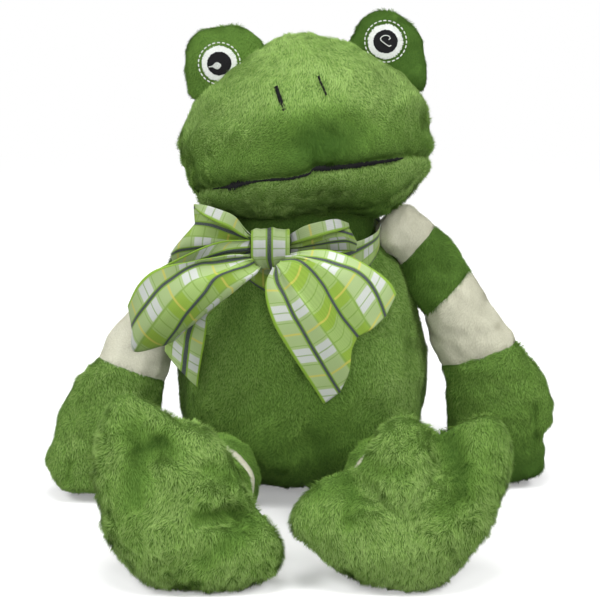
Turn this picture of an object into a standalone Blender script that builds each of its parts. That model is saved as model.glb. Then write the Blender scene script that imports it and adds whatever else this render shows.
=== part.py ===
"""Sitting plush frog with banded arms and legs, webbed feet and a ribbon bow.

The frog faces -Y and sits on the XY plane. The origin is the middle of the flat face it sits on. Every stuffed
piece is a sewn skin with a wall, and its filling is a separate solid inside it. Limbs end in round roots that
turn in shallow seats in the piece that carries them.
"""

import math

import bmesh
import bpy
from mathutils import Matrix, Vector

MM = 0.001

# Cloth, gaps and mesh steps
WALL = 1.6 * MM
GAP = 0.3 * MM
FLOOR_CUT = 0.5 * MM
OVERRUN = 20 * MM
LIMB_SIDES = 16
ROOT_RINGS = 3
ROOT_RIM_SHARE = 0.2
BODY_SIDES = 24
NECK_SIDES = 18
FOOT_SIDES = 36
THREAD_SIDES = 6

# Body: an egg, its outline from the seat up as (height share, radius share)
BODY_HEIGHT = 121 * MM
BODY_HALF_WIDTH = 58 * MM
BODY_FRONT = 52 * MM
BODY_BACK = 47 * MM
BODY_PROFILE_SHARES = (
    (0.0, 0.45), (0.05, 0.76), (0.10, 0.865), (0.18, 0.945), (0.28, 0.985), (0.40, 1.0), (0.52, 0.985),
    (0.64, 0.935), (0.76, 0.85), (0.86, 0.755), (0.93, 0.66), (0.975, 0.545), (1.0, 0.30),
)
POUCH_TOP_SHARE = 0.30
BODY_RINGS = 12

# Neck: a round wad of filling, seated in the body's top and the head's underside
NECK_RADIUS = 21 * MM
NECK_Y = -2 * MM
NECK_RISE = 3 * MM

# Head: a wide bean, its outline as (height share, radius share), tilted up and to one side
HEAD_HALF_WIDTH = 57.5 * MM
HEAD_HALF_HEIGHT = 41 * MM
HEAD_FRONT = 48 * MM
HEAD_BACK = 44 * MM
HEAD_OVER_NECK = 43.8 * MM
HEAD_AHEAD_OF_NECK = 18.4 * MM
HEAD_ASIDE = 7.2 * MM
HEAD_PITCH = math.radians(-18)
HEAD_ROLL = math.radians(-8)
SEAM_SHARE = -0.585
CROWN_PROFILE_SHARES = (
    (1.0, 0.11), (0.94, 0.22), (0.84, 0.36), (0.68, 0.595), (0.43, 0.82), (0.22, 0.91), (0.02, 0.98),
    (-0.18, 1.0), (-0.42, 0.985), (-0.585, 0.95),
)
CHIN_PROFILE_SHARES = (
    (-0.585, 0.95), (-0.70, 0.90), (-0.82, 0.80), (-0.92, 0.67), (-1.0, 0.50), (-1.03, 0.28),
)
CROWN_RINGS = 9
CHIN_RINGS = 5

# Eyes: flat stuffed pouches behind the forehead, each with an embroidered patch
POUCH_RADIUS = 17 * MM
POUCH_HALF_DEPTH = 9 * MM
POUCH_SPREAD = 37 * MM
POUCH_RISE = 29.6 * MM
POUCH_DROP = 0.8 * MM
POUCH_FORWARD = 6 * MM
POUCH_ASIDE = 2.2 * MM
POUCH_SIDES = 20
EYE_WHITE_RADIUS = 7.9 * MM
EYE_PUPIL_RADIUS = 5.3 * MM
GLINT_RADIUS = 1.6 * MM
GLINT_ASIDE = 2.4 * MM
PATCH_THICK = 0.8 * MM
PATCH_CORE_SHARE = 0.5

# Face embroidery, on the head's own axes
MOUTH_HALF_LENGTH = 41 * MM
MOUTH_ASIDE = -1.5 * MM
MOUTH_THREAD = 0.9 * MM
NOSTRIL_THREAD = 0.6 * MM
NOSTRIL_TOP = 16 * MM
NOSTRIL_LOW = 5 * MM
NOSTRIL_TOP_X = 9.5 * MM
NOSTRIL_LEAN = 2.2 * MM

# Arms: each arm's edges in its own plane, from the shoulder to the fingers, measured from the shoulder's pivot,
# as (outer x, outer z, inner x, inner z, half depth) shares of its drop. The first, third and fifth are seams.
ARM_DROP = 118 * MM
SHOULDER_X = 45.5 * MM
SHOULDER_Z = 119 * MM
SHOULDER_RADIUS = 12 * MM
SHOULDER_TILT = math.radians(35)
RIGHT_ARM_SWING = math.radians(5)
LEFT_ARM_SWING = math.radians(13)
RIGHT_ARM_EDGE_SHARES = (
    (0.132, 0.022, 0.014, -0.136, 0.104),
    (0.203, -0.032, 0.034, -0.220, 0.107),
    (0.270, -0.142, 0.102, -0.320, 0.120),
    (0.364, -0.288, 0.120, -0.412, 0.124),
    (0.458, -0.425, 0.158, -0.525, 0.117),
    (0.553, -0.538, 0.168, -0.589, 0.108),
    (0.602, -0.657, 0.180, -0.686, 0.103),
    (0.607, -0.746, 0.188, -0.771, 0.098),
    (0.568, -0.822, 0.200, -0.847, 0.092),
    (0.563, -0.894, 0.220, -0.919, 0.078),
    (0.521, -0.958, 0.280, -0.966, 0.053),
)
LEFT_ARM_EDGE_SHARES = (
    (0.128, 0.016, 0.012, -0.138, 0.104),
    (0.182, -0.059, 0.029, -0.229, 0.107),
    (0.246, -0.178, 0.083, -0.339, 0.120),
    (0.334, -0.343, 0.105, -0.449, 0.124),
    (0.419, -0.473, 0.137, -0.576, 0.117),
    (0.490, -0.585, 0.154, -0.640, 0.108),
    (0.539, -0.695, 0.171, -0.729, 0.103),
    (0.569, -0.792, 0.192, -0.818, 0.098),
    (0.610, -0.877, 0.212, -0.894, 0.088),
    (0.585, -0.945, 0.250, -0.949, 0.073),
    (0.530, -0.992, 0.322, -0.992, 0.047),
)
RIGHT_TIP_SHARES = (0.403, -0.993)
LEFT_TIP_SHARES = (0.432, -1.017)

# Legs: round sections from the hip to the ankle as (share of the leg's length, radius)
HIP_X = 38.5 * MM
HIP_Y = -54 * MM
HIP_Z = 22.5 * MM
HIP_RADIUS = 17.5 * MM
ANKLE_X = 44 * MM
ANKLE_Y = -99 * MM
ANKLE_Z = 24 * MM
ANKLE_RADIUS = 15 * MM
THIGH_RADIUS = 21.5 * MM
CREAM_RADIUS = 20.4 * MM
SHIN_RADIUS = 18 * MM
THIGH_SHARE = 0.18
LEG_BAND_1_SHARE = 0.34
LEG_BAND_2_SHARE = 0.50
SHIN_SHARE = 0.72

# Feet: a web of three toes round the heel. Each outline is (angle from straight up, radius share), clockwise
FOOT_REACH = 60 * MM
FOOT_HALF_DEPTH = 14 * MM
FOOT_LEAN = math.radians(-18)
FOOT_SEAT = 11.4 * MM
RIGHT_HEEL_X = 46 * MM
LEFT_HEEL_X = -60 * MM
WEB_DENT_SHARE = 0.40
WEB_DENT_SPREAD = 16
FOOT_LAYER_SHARES = (0.22, 0.60, 0.88, 1.0, 0.88, 0.60, 0.22)
LEFT_TOE_SHARES = (
    (-180, 0.42), (-150, 0.37), (-119, 0.36), (-91, 0.41), (-70, 0.47), (-46, 0.67), (-28, 0.89), (-17, 1.0),
    (-5, 0.87), (8, 0.69), (25, 0.71), (42, 0.70), (58, 0.68), (72, 0.68), (84, 0.75), (96, 0.87), (105, 0.90),
    (115, 0.84), (131, 0.66), (156, 0.47), (180, 0.42),
)
RIGHT_TOE_SHARES = (
    (-180, 0.43), (-157, 0.43), (-131, 0.52), (-113, 0.63), (-99, 0.73), (-87, 0.86), (-73, 0.82), (-58, 0.71),
    (-42, 0.60), (-28, 0.66), (-14, 0.78), (-3, 0.81), (7, 0.77), (16, 0.72), (25, 0.85), (35, 1.0), (46, 0.97),
    (60, 0.82), (75, 0.64), (93, 0.54), (114, 0.46), (146, 0.43), (180, 0.43),
)
LEFT_WEB_ANGLES = (9, 70)
RIGHT_WEB_ANGLES = (-41, 16)

# Ribbon: one woven ribbon round the neck, tied in front
RIBBON_THICK = 0.6 * MM
RIBBON_WIDTH = 38 * MM
BAND_SIDE_SHARE = 0.55
BAND_FRONT_SHARE = 0.80
BAND_TOP_Z = 124 * MM
BAND_SIDES = 32
KNOT_X = -14 * MM
KNOT_Z = 124.7 * MM
KNOT_HALF_WIDTH = 8.5 * MM
KNOT_HALF_HEIGHT = 9.5 * MM
KNOT_HALF_DEPTH = 5 * MM
KNOT_SHARES = ((-1.0, 0.70), (-0.9, 0.88), (-0.45, 0.98), (0.0, 1.0), (0.45, 0.98), (0.9, 0.88), (1.0, 0.70))
KNOT_SIDES = 20
RIBBON_COLUMNS = 5

# The bow's pieces as edges of the ribbon, in shares of its width from the knot's middle, each a run outward
LEFT_LOOP_EDGE_SHARES = (
    ((-0.24, -0.07, -0.03), (-0.63, -0.16, 0.07), (-1.21, -0.21, -0.16), (-1.50, -0.21, -0.34), (-1.56, -0.13, -0.41),
     (-1.49, -0.05, -0.34), (-1.18, -0.01, -0.16), (-0.63, 0.01, 0.05), (-0.24, 0.03, -0.03)),
    ((-0.24, -0.11, -0.14), (-0.66, -0.29, -0.21), (-1.16, -0.33, -0.45), (-1.50, -0.29, -0.66), (-1.58, -0.18, -0.74),
     (-1.47, -0.05, -0.67), (-1.13, -0.01, -0.45), (-0.63, 0.01, -0.21), (-0.24, 0.04, -0.13)),
    ((-0.24, -0.07, -0.25), (-0.50, -0.21, -0.46), (-0.87, -0.28, -0.71), (-1.24, -0.29, -1.03), (-1.42, -0.21, -1.16),
     (-1.25, -0.11, -1.01), (-0.87, -0.05, -0.70), (-0.50, -0.01, -0.45), (-0.24, 0.03, -0.24)),
)
BACK_LOOP_LEFT_EDGE_SHARES = (
    ((-0.24, 0.01, 0.21), (-0.47, -0.06, 0.31), (-0.76, -0.06, 0.43), (-0.85, -0.02, 0.46),
     (-0.75, 0.02, 0.43), (-0.47, 0.02, 0.33), (-0.24, 0.11, 0.21)),
    ((-0.24, -0.01, 0.13), (-0.58, -0.12, 0.21), (-0.92, -0.12, 0.27), (-1.05, -0.04, 0.29),
     (-0.92, 0.04, 0.27), (-0.58, 0.06, 0.21), (-0.24, 0.11, 0.13)),
    ((-0.24, 0.03, 0.07), (-0.58, -0.04, 0.11), (-0.97, -0.04, 0.10), (-1.12, 0.00, 0.09),
     (-0.97, 0.06, 0.10), (-0.58, 0.05, 0.11), (-0.24, 0.11, 0.07)),
)
BACK_LOOP_RIGHT_EDGE_SHARES = (
    ((0.24, -0.01, 0.21), (0.47, -0.05, 0.29), (0.79, -0.04, 0.31), (0.99, 0.04, 0.32),
     (0.79, 0.08, 0.31), (0.47, 0.05, 0.29), (0.24, 0.09, 0.21)),
    ((0.24, -0.03, 0.16), (0.53, -0.11, 0.24), (0.87, -0.09, 0.25), (1.05, 0.03, 0.25),
     (0.87, 0.11, 0.25), (0.53, 0.11, 0.24), (0.24, 0.09, 0.16)),
    ((0.24, -0.01, 0.11), (0.53, -0.04, 0.18), (0.84, -0.03, 0.18), (1.01, 0.04, 0.18),
     (0.84, 0.09, 0.18), (0.53, 0.08, 0.18), (0.24, 0.09, 0.11)),
)
LEFT_TAIL_EDGE_SHARES = (
    ((-0.24, 0.08, -0.23), (-0.53, 0.18, -0.32), (-0.72, 0.24, -0.58),
     (-0.80, 0.25, -0.95), (-0.85, 0.26, -1.37)),
    ((-0.24, 0.07, -0.13), (-0.58, 0.16, -0.13), (-0.87, 0.20, -0.37),
     (-1.01, 0.22, -0.71), (-1.07, 0.25, -1.13)),
    ((-0.24, 0.08, -0.05), (-0.63, 0.17, 0.01), (-1.00, 0.24, -0.16),
     (-1.20, 0.28, -0.47), (-1.26, 0.30, -0.88)),
)
RIGHT_TAIL_EDGE_SHARES = (
    ((-0.11, -0.16, -0.21), (-0.07, -0.22, -0.39), (0.02, -0.28, -0.68),
     (0.29, -0.34, -1.21), (0.60, -0.38, -1.72)),
    ((0.05, -0.16, -0.18), (0.16, -0.29, -0.34), (0.32, -0.37, -0.58),
     (0.55, -0.41, -1.00), (0.83, -0.41, -1.51)),
    ((0.18, -0.13, -0.11), (0.28, -0.32, -0.13), (0.55, -0.42, -0.34),
     (0.79, -0.45, -0.66), (0.99, -0.41, -0.96)),
    ((0.24, -0.09, -0.03), (0.50, -0.28, 0.07), (0.87, -0.39, 0.00),
     (1.12, -0.37, -0.24), (1.26, -0.28, -0.51)),
    ((0.24, -0.04, 0.08), (0.50, -0.12, 0.12), (0.92, -0.24, 0.08),
     (1.30, -0.20, -0.19), (1.41, -0.12, -0.41)),
)

GREEN_PILE = (0.16, 0.30, 0.06)
CREAM_PILE = (0.62, 0.62, 0.48)
FILLING_WHITE = (0.85, 0.85, 0.82)
PELLET_GREY = (0.55, 0.55, 0.55)
THREAD_BLACK = (0.01, 0.01, 0.01)
THREAD_WHITE = (0.80, 0.80, 0.76)
RIBBON_LIME = (0.42, 0.62, 0.10)

LEFT = -1
RIGHT = 1
SIDE_NAMES = {LEFT: "left", RIGHT: "right"}


class Form:
    """A surface of rings of points, each ring with as many points, and a pole point at either end or none."""

    def __init__(self, rings, start=None, end=None):
        self.rings = rings
        self.start = start
        self.end = end

    def part(self, first, last):
        """The stretch from ring first to ring last, half the gap short of a seam at either of them."""
        rings = self.rings[first:last + 1]
        start = self.start
        end = self.end
        if first > 0:
            start = None
            rings[0] = [p + (q - p).normalized() * GAP / 2 for p, q in zip(rings[0], rings[1])]
        if last < len(self.rings) - 1:
            end = None
            rings[-1] = [p + (q - p).normalized() * GAP / 2 for p, q in zip(rings[-1], rings[-2])]
        return Form(rings, start, end)

    def normals(self):
        count = len(self.rings)
        sides = len(self.rings[0])
        found = []
        for i, ring in enumerate(self.rings):
            row = []
            for j in range(sides):
                if i > 0:
                    before = self.rings[i - 1][j]
                else:
                    before = self.start or ring[j]
                if i < count - 1:
                    after = self.rings[i + 1][j]
                else:
                    after = self.end or ring[j]
                around = ring[(j + 1) % sides] - ring[j - 1]
                row.append(around.cross(after - before).normalized())
            found.append(row)
        outward = 0.0
        for ring, row in zip(self.rings, found):
            middle = sum(ring, Vector()) / sides
            outward += sum(n.dot(p - middle) for p, n in zip(ring, row))
        if outward < 0:
            found = [[-n for n in row] for row in found]
        return found

    def inset(self, depth):
        """The same surface moved inward by depth, or outward where depth is negative."""
        normals = self.normals()
        rings = [[p - n * depth for p, n in zip(*pair)] for pair in zip(self.rings, normals)]
        start = end = None
        if self.start is not None:
            start = self.start - sum(normals[0], Vector()).normalized() * depth
        if self.end is not None:
            end = self.end - sum(normals[-1], Vector()).normalized() * depth
        return Form(rings, start, end)


def smooth_run(points, count):
    """Evenly spaced points on a smooth curve through the given points, ends included."""
    points = [Vector(p) for p in points]
    fine = []
    steps = 12
    for i in range(len(points) - 1):
        a = points[max(i - 1, 0)]
        b = points[i]
        c = points[i + 1]
        d = points[min(i + 2, len(points) - 1)]
        for k in range(steps):
            t = k / steps
            fine.append(
                0.5 * (2 * b + (c - a) * t + (2 * a - 5 * b + 4 * c - d) * t ** 2 + (3 * b - a - 3 * c + d) * t ** 3)
            )
    fine.append(points[-1])
    lengths = [0.0]
    for a, b in zip(fine, fine[1:]):
        lengths.append(lengths[-1] + (b - a).length)
    run = []
    k = 0
    for i in range(count):
        target = lengths[-1] * i / (count - 1)
        while k < len(fine) - 2 and lengths[k + 1] < target:
            k += 1
        span = lengths[k + 1] - lengths[k]
        run.append(fine[k].lerp(fine[k + 1], (target - lengths[k]) / span if span else 0.0))
    return run


def follow(table, at):
    """The value of a smooth curve through a table of (place, value) rows."""
    rows = list(table)
    at = min(max(at, min(rows[0][0], rows[-1][0])), max(rows[0][0], rows[-1][0]))
    if rows[0][0] > rows[-1][0]:
        rows.reverse()
    i = 0
    while i < len(rows) - 2 and rows[i + 1][0] < at:
        i += 1
    slopes = []
    for k in (i, i + 1):
        low = rows[max(k - 1, 0)]
        high = rows[min(k + 1, len(rows) - 1)]
        slopes.append((high[1] - low[1]) / (high[0] - low[0]))
    span = rows[i + 1][0] - rows[i][0]
    t = (at - rows[i][0]) / span
    near = (2 * t ** 3 - 3 * t ** 2 + 1) * rows[i][1] + (t ** 3 - 2 * t ** 2 + t) * span * slopes[0]
    far = (3 * t ** 2 - 2 * t ** 3) * rows[i + 1][1] + (t ** 3 - t ** 2) * span * slopes[1]
    return near + far


def egg_ring(half_width, front, back, share, height, sides):
    ring = []
    for j in range(sides):
        angle = 2 * math.pi * j / sides
        depth = front if math.sin(angle) < 0 else back
        ring.append(Vector((half_width * share * math.cos(angle), depth * share * math.sin(angle), height)))
    return ring


def mesh_object(name, rings, start=None, end=None, closed=False, colour=GREEN_PILE, roughness=0.9, parent=None):
    """A solid through the rings. A pole closes an end, and closed joins the last ring to the first."""
    bm = bmesh.new()
    rows = [[bm.verts.new(p) for p in ring] for ring in rings]
    sides = len(rows[0])
    pairs = list(zip(rows, rows[1:]))
    if closed:
        pairs.append((rows[-1], rows[0]))
    for low, high in pairs:
        for j in range(sides):
            k = (j + 1) % sides
            bm.faces.new((low[j], low[k], high[k], high[j]))
    if not closed:
        for row, pole in ((rows[0], start), (rows[-1], end)):
            if pole is None:
                bm.faces.new(row)
                continue
            tip = bm.verts.new(pole)
            for j in range(sides):
                bm.faces.new((row[j], row[(j + 1) % sides], tip))
    bmesh.ops.recalc_face_normals(bm, faces=bm.faces)
    return add_object(name, bm, colour, roughness, parent)


def add_object(name, bm, colour, roughness=0.9, parent=None):
    mesh = bpy.data.meshes.new(name)
    bm.to_mesh(mesh)
    bm.free()
    mesh.shade_smooth()
    piece = bpy.data.objects.new(name, mesh)
    bpy.context.scene.collection.objects.link(piece)
    finish(piece, name, colour, roughness)
    piece.parent = parent
    return piece


def finish(piece, name, colour, roughness):
    material = bpy.data.materials.new(name)
    material.use_nodes = True
    shader = material.node_tree.nodes["Principled BSDF"]
    shader.inputs["Base Color"].default_value = (*colour, 1.0)
    shader.inputs["Roughness"].default_value = roughness
    shader.inputs["Metallic"].default_value = 0.0
    piece.data.materials.append(material)


def sewn_skin(name, whole, first=0, last=None, colour=GREEN_PILE, parent=None):
    """A stretch of a form as a skin with a wall: a cup where it has one pole, a sleeve where it has none."""
    if last is None:
        last = len(whole.rings) - 1
    form = whole.part(first, last)
    inner = whole.inset(WALL).part(first, last)
    rings = form.rings + inner.rings[::-1]
    if form.start is not None:
        return mesh_object(name, rings, form.start, inner.start, colour=colour, parent=parent)
    if form.end is not None:
        rings = form.rings[::-1] + inner.rings
        return mesh_object(name, rings, form.end, inner.end, colour=colour, parent=parent)
    return mesh_object(name, rings, closed=True, colour=colour, parent=parent)


def filling(name, form, parent=None, colour=FILLING_WHITE, clear=GAP):
    """The filling inside a skin, clear of its inner face by the gap."""
    inner = form.inset(WALL + clear)
    return mesh_object(name, inner.rings, inner.start, inner.end, colour=colour, parent=parent)


def empty(name, location, rotation=None, parent=None):
    pivot = bpy.data.objects.new(name, None)
    bpy.context.scene.collection.objects.link(pivot)
    pivot.location = location
    if rotation is not None:
        pivot.rotation_euler = rotation.to_euler()
    pivot.parent = parent
    return pivot


def as_cutter(piece):
    piece.hide_render = True
    piece.display_type = "WIRE"
    return piece


def ball(name, radius, sides, parent=None, location=None, outside=False):
    """A round solid. With outside set, its flat faces all lie outside the radius."""
    if outside:
        radius = radius / math.cos(math.pi / sides) ** 2
    rings = []
    layers = sides // 2
    for i in range(1, layers):
        angle = math.pi * i / layers
        level = -radius * math.cos(angle)
        rings.append(egg_ring(radius, radius, radius, math.sin(angle), level, sides))
    pole = Vector((0.0, 0.0, radius))
    piece = mesh_object(name, rings, -pole, pole, colour=FILLING_WHITE, parent=parent)
    if location is not None:
        piece.location = location
    return piece


def cut(piece, *cutters):
    for cutter in cutters:
        modifier = piece.modifiers.new("cut", "BOOLEAN")
        modifier.operation = "DIFFERENCE"
        modifier.solver = "EXACT"
        modifier.object = cutter


def floor_cutter():
    """A slab whose top is the floor, for what rests flat on it."""
    bm = bmesh.new()
    bmesh.ops.create_cube(bm, size=1.0)
    reach = 2 * (BODY_HALF_WIDTH - ANKLE_Y + FOOT_REACH)
    bmesh.ops.scale(bm, vec=(reach, 2 * reach, OVERRUN), verts=bm.verts)
    bmesh.ops.translate(bm, vec=(0.0, 0.0, -OVERRUN / 2), verts=bm.verts)
    return as_cutter(add_object("floor_cutter", bm, FILLING_WHITE))


def body_form():
    profile = smooth_run([(r, h, 0.0) for h, r in BODY_PROFILE_SHARES], BODY_RINGS)
    rings = []
    for point in profile:
        level = point.y * (BODY_HEIGHT + FLOOR_CUT) - FLOOR_CUT
        rings.append(egg_ring(BODY_HALF_WIDTH, BODY_FRONT, BODY_BACK, point.x, level, BODY_SIDES))
    return Form(rings, start=Vector((0.0, 0.0, -FLOOR_CUT)))


def body_level(share):
    """The height of the body's shoulder where its outline has drawn in to a share of its full width."""
    shoulder = [(r, h) for h, r in BODY_PROFILE_SHARES if h >= POUCH_TOP_SHARE * 2][::-1]
    return follow(shoulder, share) * BODY_HEIGHT


def build_body(cutters):
    form = body_form()
    skin = sewn_skin("body_skin", form)
    inner = form.inset(WALL + GAP)
    split = 0
    while inner.rings[split][0].z < BODY_HEIGHT * POUCH_TOP_SHARE:
        split += 1
    low = inner.rings[:split]
    top_ring = [p.copy() for p in low[-1]]
    pouch = mesh_object("seat_pellet_pouch", low, inner.start, colour=PELLET_GREY)
    raised = [p + Vector((0.0, 0.0, GAP)) for p in top_ring]
    stuffing = mesh_object("body_filling", [raised] + inner.rings[split:], colour=FILLING_WHITE)
    for piece in (skin, pouch, stuffing):
        cut(piece, *cutters)
    return form


def head_form(profile, count):
    rings = []
    for point in smooth_run([(r, h, 0.0) for h, r in profile], count):
        level = point.y * HEAD_HALF_HEIGHT
        rings.append(egg_ring(HEAD_HALF_WIDTH, HEAD_FRONT, HEAD_BACK, point.x, level, BODY_SIDES))
    return rings


def head_front(x, z):
    """The point of the head's front surface at x and z on the head's own axes, and its outward normal."""
    profile = CROWN_PROFILE_SHARES + CHIN_PROFILE_SHARES[1:]

    def surface(px, pz):
        share = follow(profile, pz / HEAD_HALF_HEIGHT)
        reach = 1 - (px / (HEAD_HALF_WIDTH * share)) ** 2
        return Vector((px, -HEAD_FRONT * share * math.sqrt(max(reach, 0.0)), pz))

    here = surface(x, z)
    step = GAP
    across = surface(x + step, z) - surface(x - step, z)
    up = surface(x, z + step) - surface(x, z - step)
    return here, across.cross(up).normalized()


def thread(name, run, radius, parent, colour=THREAD_BLACK):
    """A laid thread along points that each come with their outward normal."""
    rings = []
    for i, (point, normal) in enumerate(run):
        along = (run[min(i + 1, len(run) - 1)][0] - run[max(i - 1, 0)][0]).normalized()
        side = along.cross(normal).normalized()
        middle = point + normal * (radius + GAP)
        ring = []
        for j in range(THREAD_SIDES):
            angle = 2 * math.pi * j / THREAD_SIDES
            ring.append(middle + side * radius * math.cos(angle) + normal * radius * math.sin(angle))
        rings.append(ring)
    return mesh_object(name, rings, colour=colour, parent=parent)


def pillow_ring(radius, share, depth, sides):
    """One ring of a flat stuffed piece, across Y: share is its part of the radius, depth its place in Y."""
    ring = []
    for j in range(sides):
        angle = 2 * math.pi * j / sides
        ring.append(Vector((radius * share * math.cos(angle), depth, radius * share * math.sin(angle))))
    return ring


def pouch_depth(share):
    """How far the pouch's front stands out at a share of its radius."""
    return POUCH_HALF_DEPTH * math.sqrt(1 - share ** 2)


def pouch_form():
    rings = []
    for share, side in ((0.5, 1), (0.82, 1), (0.97, 1), (0.97, -1), (0.82, -1), (0.5, -1)):
        rings.append(pillow_ring(POUCH_RADIUS, share, side * pouch_depth(share), POUCH_SIDES))
    back = Vector((0.0, POUCH_HALF_DEPTH, 0.0))
    return Form(rings, start=back, end=-back)


def patch_ring(radius, lift, aside):
    """A ring of a stitched patch, lifted off the pouch's front."""
    ring = []
    for j in range(POUCH_SIDES):
        angle = 2 * math.pi * j / POUCH_SIDES
        x = aside + radius * math.cos(angle)
        z = abs(aside) + radius * math.sin(angle)
        ring.append(Vector((x, -pouch_depth(math.hypot(x, z) / POUCH_RADIUS) - lift, z)))
    return ring


def eye_disc(name, radius, colour, parent, lift=GAP, aside=0.0):
    """A round stitched patch that follows the pouch's front."""
    top = lift + PATCH_THICK
    rings = [patch_ring(radius * PATCH_CORE_SHARE, lift, aside), patch_ring(radius, lift, aside)]
    rings += [patch_ring(radius, top, aside), patch_ring(radius * PATCH_CORE_SHARE, top, aside)]
    low, high = (sum(ring, Vector()) / POUCH_SIDES for ring in (rings[0], rings[-1]))
    return mesh_object(name, rings, low, high, colour=colour, parent=parent)


def build_eye(side, head, head_cutter):
    name = SIDE_NAMES[side]
    place = Vector((side * POUCH_SPREAD + POUCH_ASIDE, -POUCH_FORWARD, POUCH_RISE - side * POUCH_DROP))
    seat = empty(f"eye_{name}_seat", place, parent=head)
    form = pouch_form()
    outer = mesh_object(f"eye_pouch_{name}", form.rings, form.start, form.end, parent=seat)
    inner = form.inset(WALL)
    hollow = mesh_object(f"eye_hollow_{name}", inner.rings, inner.start, inner.end, parent=seat)
    cut(outer, as_cutter(hollow), head_cutter)
    stuffing = filling(f"eye_filling_{name}", form, seat)
    cut(stuffing, head_cutter)
    edges = ((EYE_PUPIL_RADIUS + GAP, GAP), (EYE_WHITE_RADIUS, GAP))
    rings = [patch_ring(radius, lift, 0.0) for radius, lift in edges]
    rings += [patch_ring(radius, lift + PATCH_THICK, 0.0) for radius, lift in edges[::-1]]
    white = mesh_object(f"eye_white_{name}", rings, closed=True, colour=THREAD_WHITE, parent=seat)
    pupil = eye_disc(f"eye_pupil_{name}", EYE_PUPIL_RADIUS, THREAD_BLACK, seat)
    for patch in (white, pupil):
        cut(patch, head_cutter)
    glint_lift = PATCH_THICK + 2 * GAP
    eye_disc(f"eye_glint_{name}", GLINT_RADIUS, THREAD_WHITE, seat, glint_lift, -side * GLINT_ASIDE)


def build_head(neck):
    head = empty("head_axes", Vector(), parent=neck)
    head.rotation_euler = (Matrix.Rotation(HEAD_PITCH, 3, "X") @ Matrix.Rotation(HEAD_ROLL, 3, "Y")).to_euler()
    middle = empty("head_middle", (HEAD_ASIDE, -HEAD_AHEAD_OF_NECK, HEAD_OVER_NECK), parent=head)
    neck_socket = as_cutter(ball("head_neck_socket", NECK_RADIUS + GAP, NECK_SIDES, neck, outside=True))
    top = Vector((0.0, 0.0, HEAD_HALF_HEIGHT))
    crown_rings = head_form(CROWN_PROFILE_SHARES, CROWN_RINGS)
    chin_rings = head_form(CHIN_PROFILE_SHARES, CHIN_RINGS)
    bottom = Vector((0.0, 0.0, CHIN_PROFILE_SHARES[-1][0] * HEAD_HALF_HEIGHT))
    whole = Form(crown_rings + chin_rings[1:], start=top, end=bottom)
    crown = sewn_skin("head_crown_skin", whole, 0, CROWN_RINGS - 1, parent=middle)
    chin = sewn_skin("head_chin_skin", whole, CROWN_RINGS - 1, parent=middle)
    stuffing = filling("head_filling", whole, middle)
    for piece in (crown, chin, stuffing):
        cut(piece, neck_socket)
    bulk = whole.inset(-GAP)
    head_cutter = as_cutter(mesh_object("head_cutter", bulk.rings, bulk.start, bulk.end, parent=middle))
    for side in (LEFT, RIGHT):
        build_eye(side, middle, head_cutter)
        name = SIDE_NAMES[side]
        run = []
        steps = 4
        for k in range(steps + 1):
            t = k / steps
            x = side * NOSTRIL_TOP_X + NOSTRIL_LEAN * t
            run.append(head_front(x, NOSTRIL_TOP + (NOSTRIL_LOW - NOSTRIL_TOP) * t))
        thread(f"nostril_{name}", run, NOSTRIL_THREAD, middle)
    run = []
    steps = 22
    for k in range(steps + 1):
        x = MOUTH_ASIDE + MOUTH_HALF_LENGTH * (2 * k / steps - 1)
        run.append(head_front(x, SEAM_SHARE * HEAD_HALF_HEIGHT))
    thread("mouth_thread", run, MOUTH_THREAD, middle)


def edge_ring(edge):
    """An oval ring between two edge points of the arm, which lie in the XZ plane."""
    outer = Vector((edge[0], 0.0, edge[1])) * ARM_DROP
    inner = Vector((edge[2], 0.0, edge[3])) * ARM_DROP
    middle = (outer + inner) / 2
    depth = Vector((0.0, edge[4] * ARM_DROP, 0.0))
    ring = []
    for j in range(LIMB_SIDES):
        angle = 2 * math.pi * j / LIMB_SIDES
        ring.append(middle + (outer - middle) * math.cos(angle) + depth * math.sin(angle))
    return ring


def round_ring(middle, along, radius, sides):
    """A round ring square to the direction along."""
    across = Vector((0.0, 0.0, 1.0)).cross(along)
    if across.length < 0.5:
        across = Vector((0.0, 1.0, 0.0)).cross(along)
    across.normalize()
    up = along.cross(across)
    ring = []
    for j in range(sides):
        angle = 2 * math.pi * j / sides
        ring.append(middle + (across * math.cos(angle) + up * math.sin(angle)) * radius)
    return ring


def root_rings(along, radius, sides, angles):
    """Rings of the round root about the origin. The angles count from the root's own pole."""
    rings = []
    for degrees in angles:
        angle = math.radians(degrees)
        rings.append(round_ring(-along * radius * math.cos(angle), along, radius * math.sin(angle), sides))
    return rings


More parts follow.
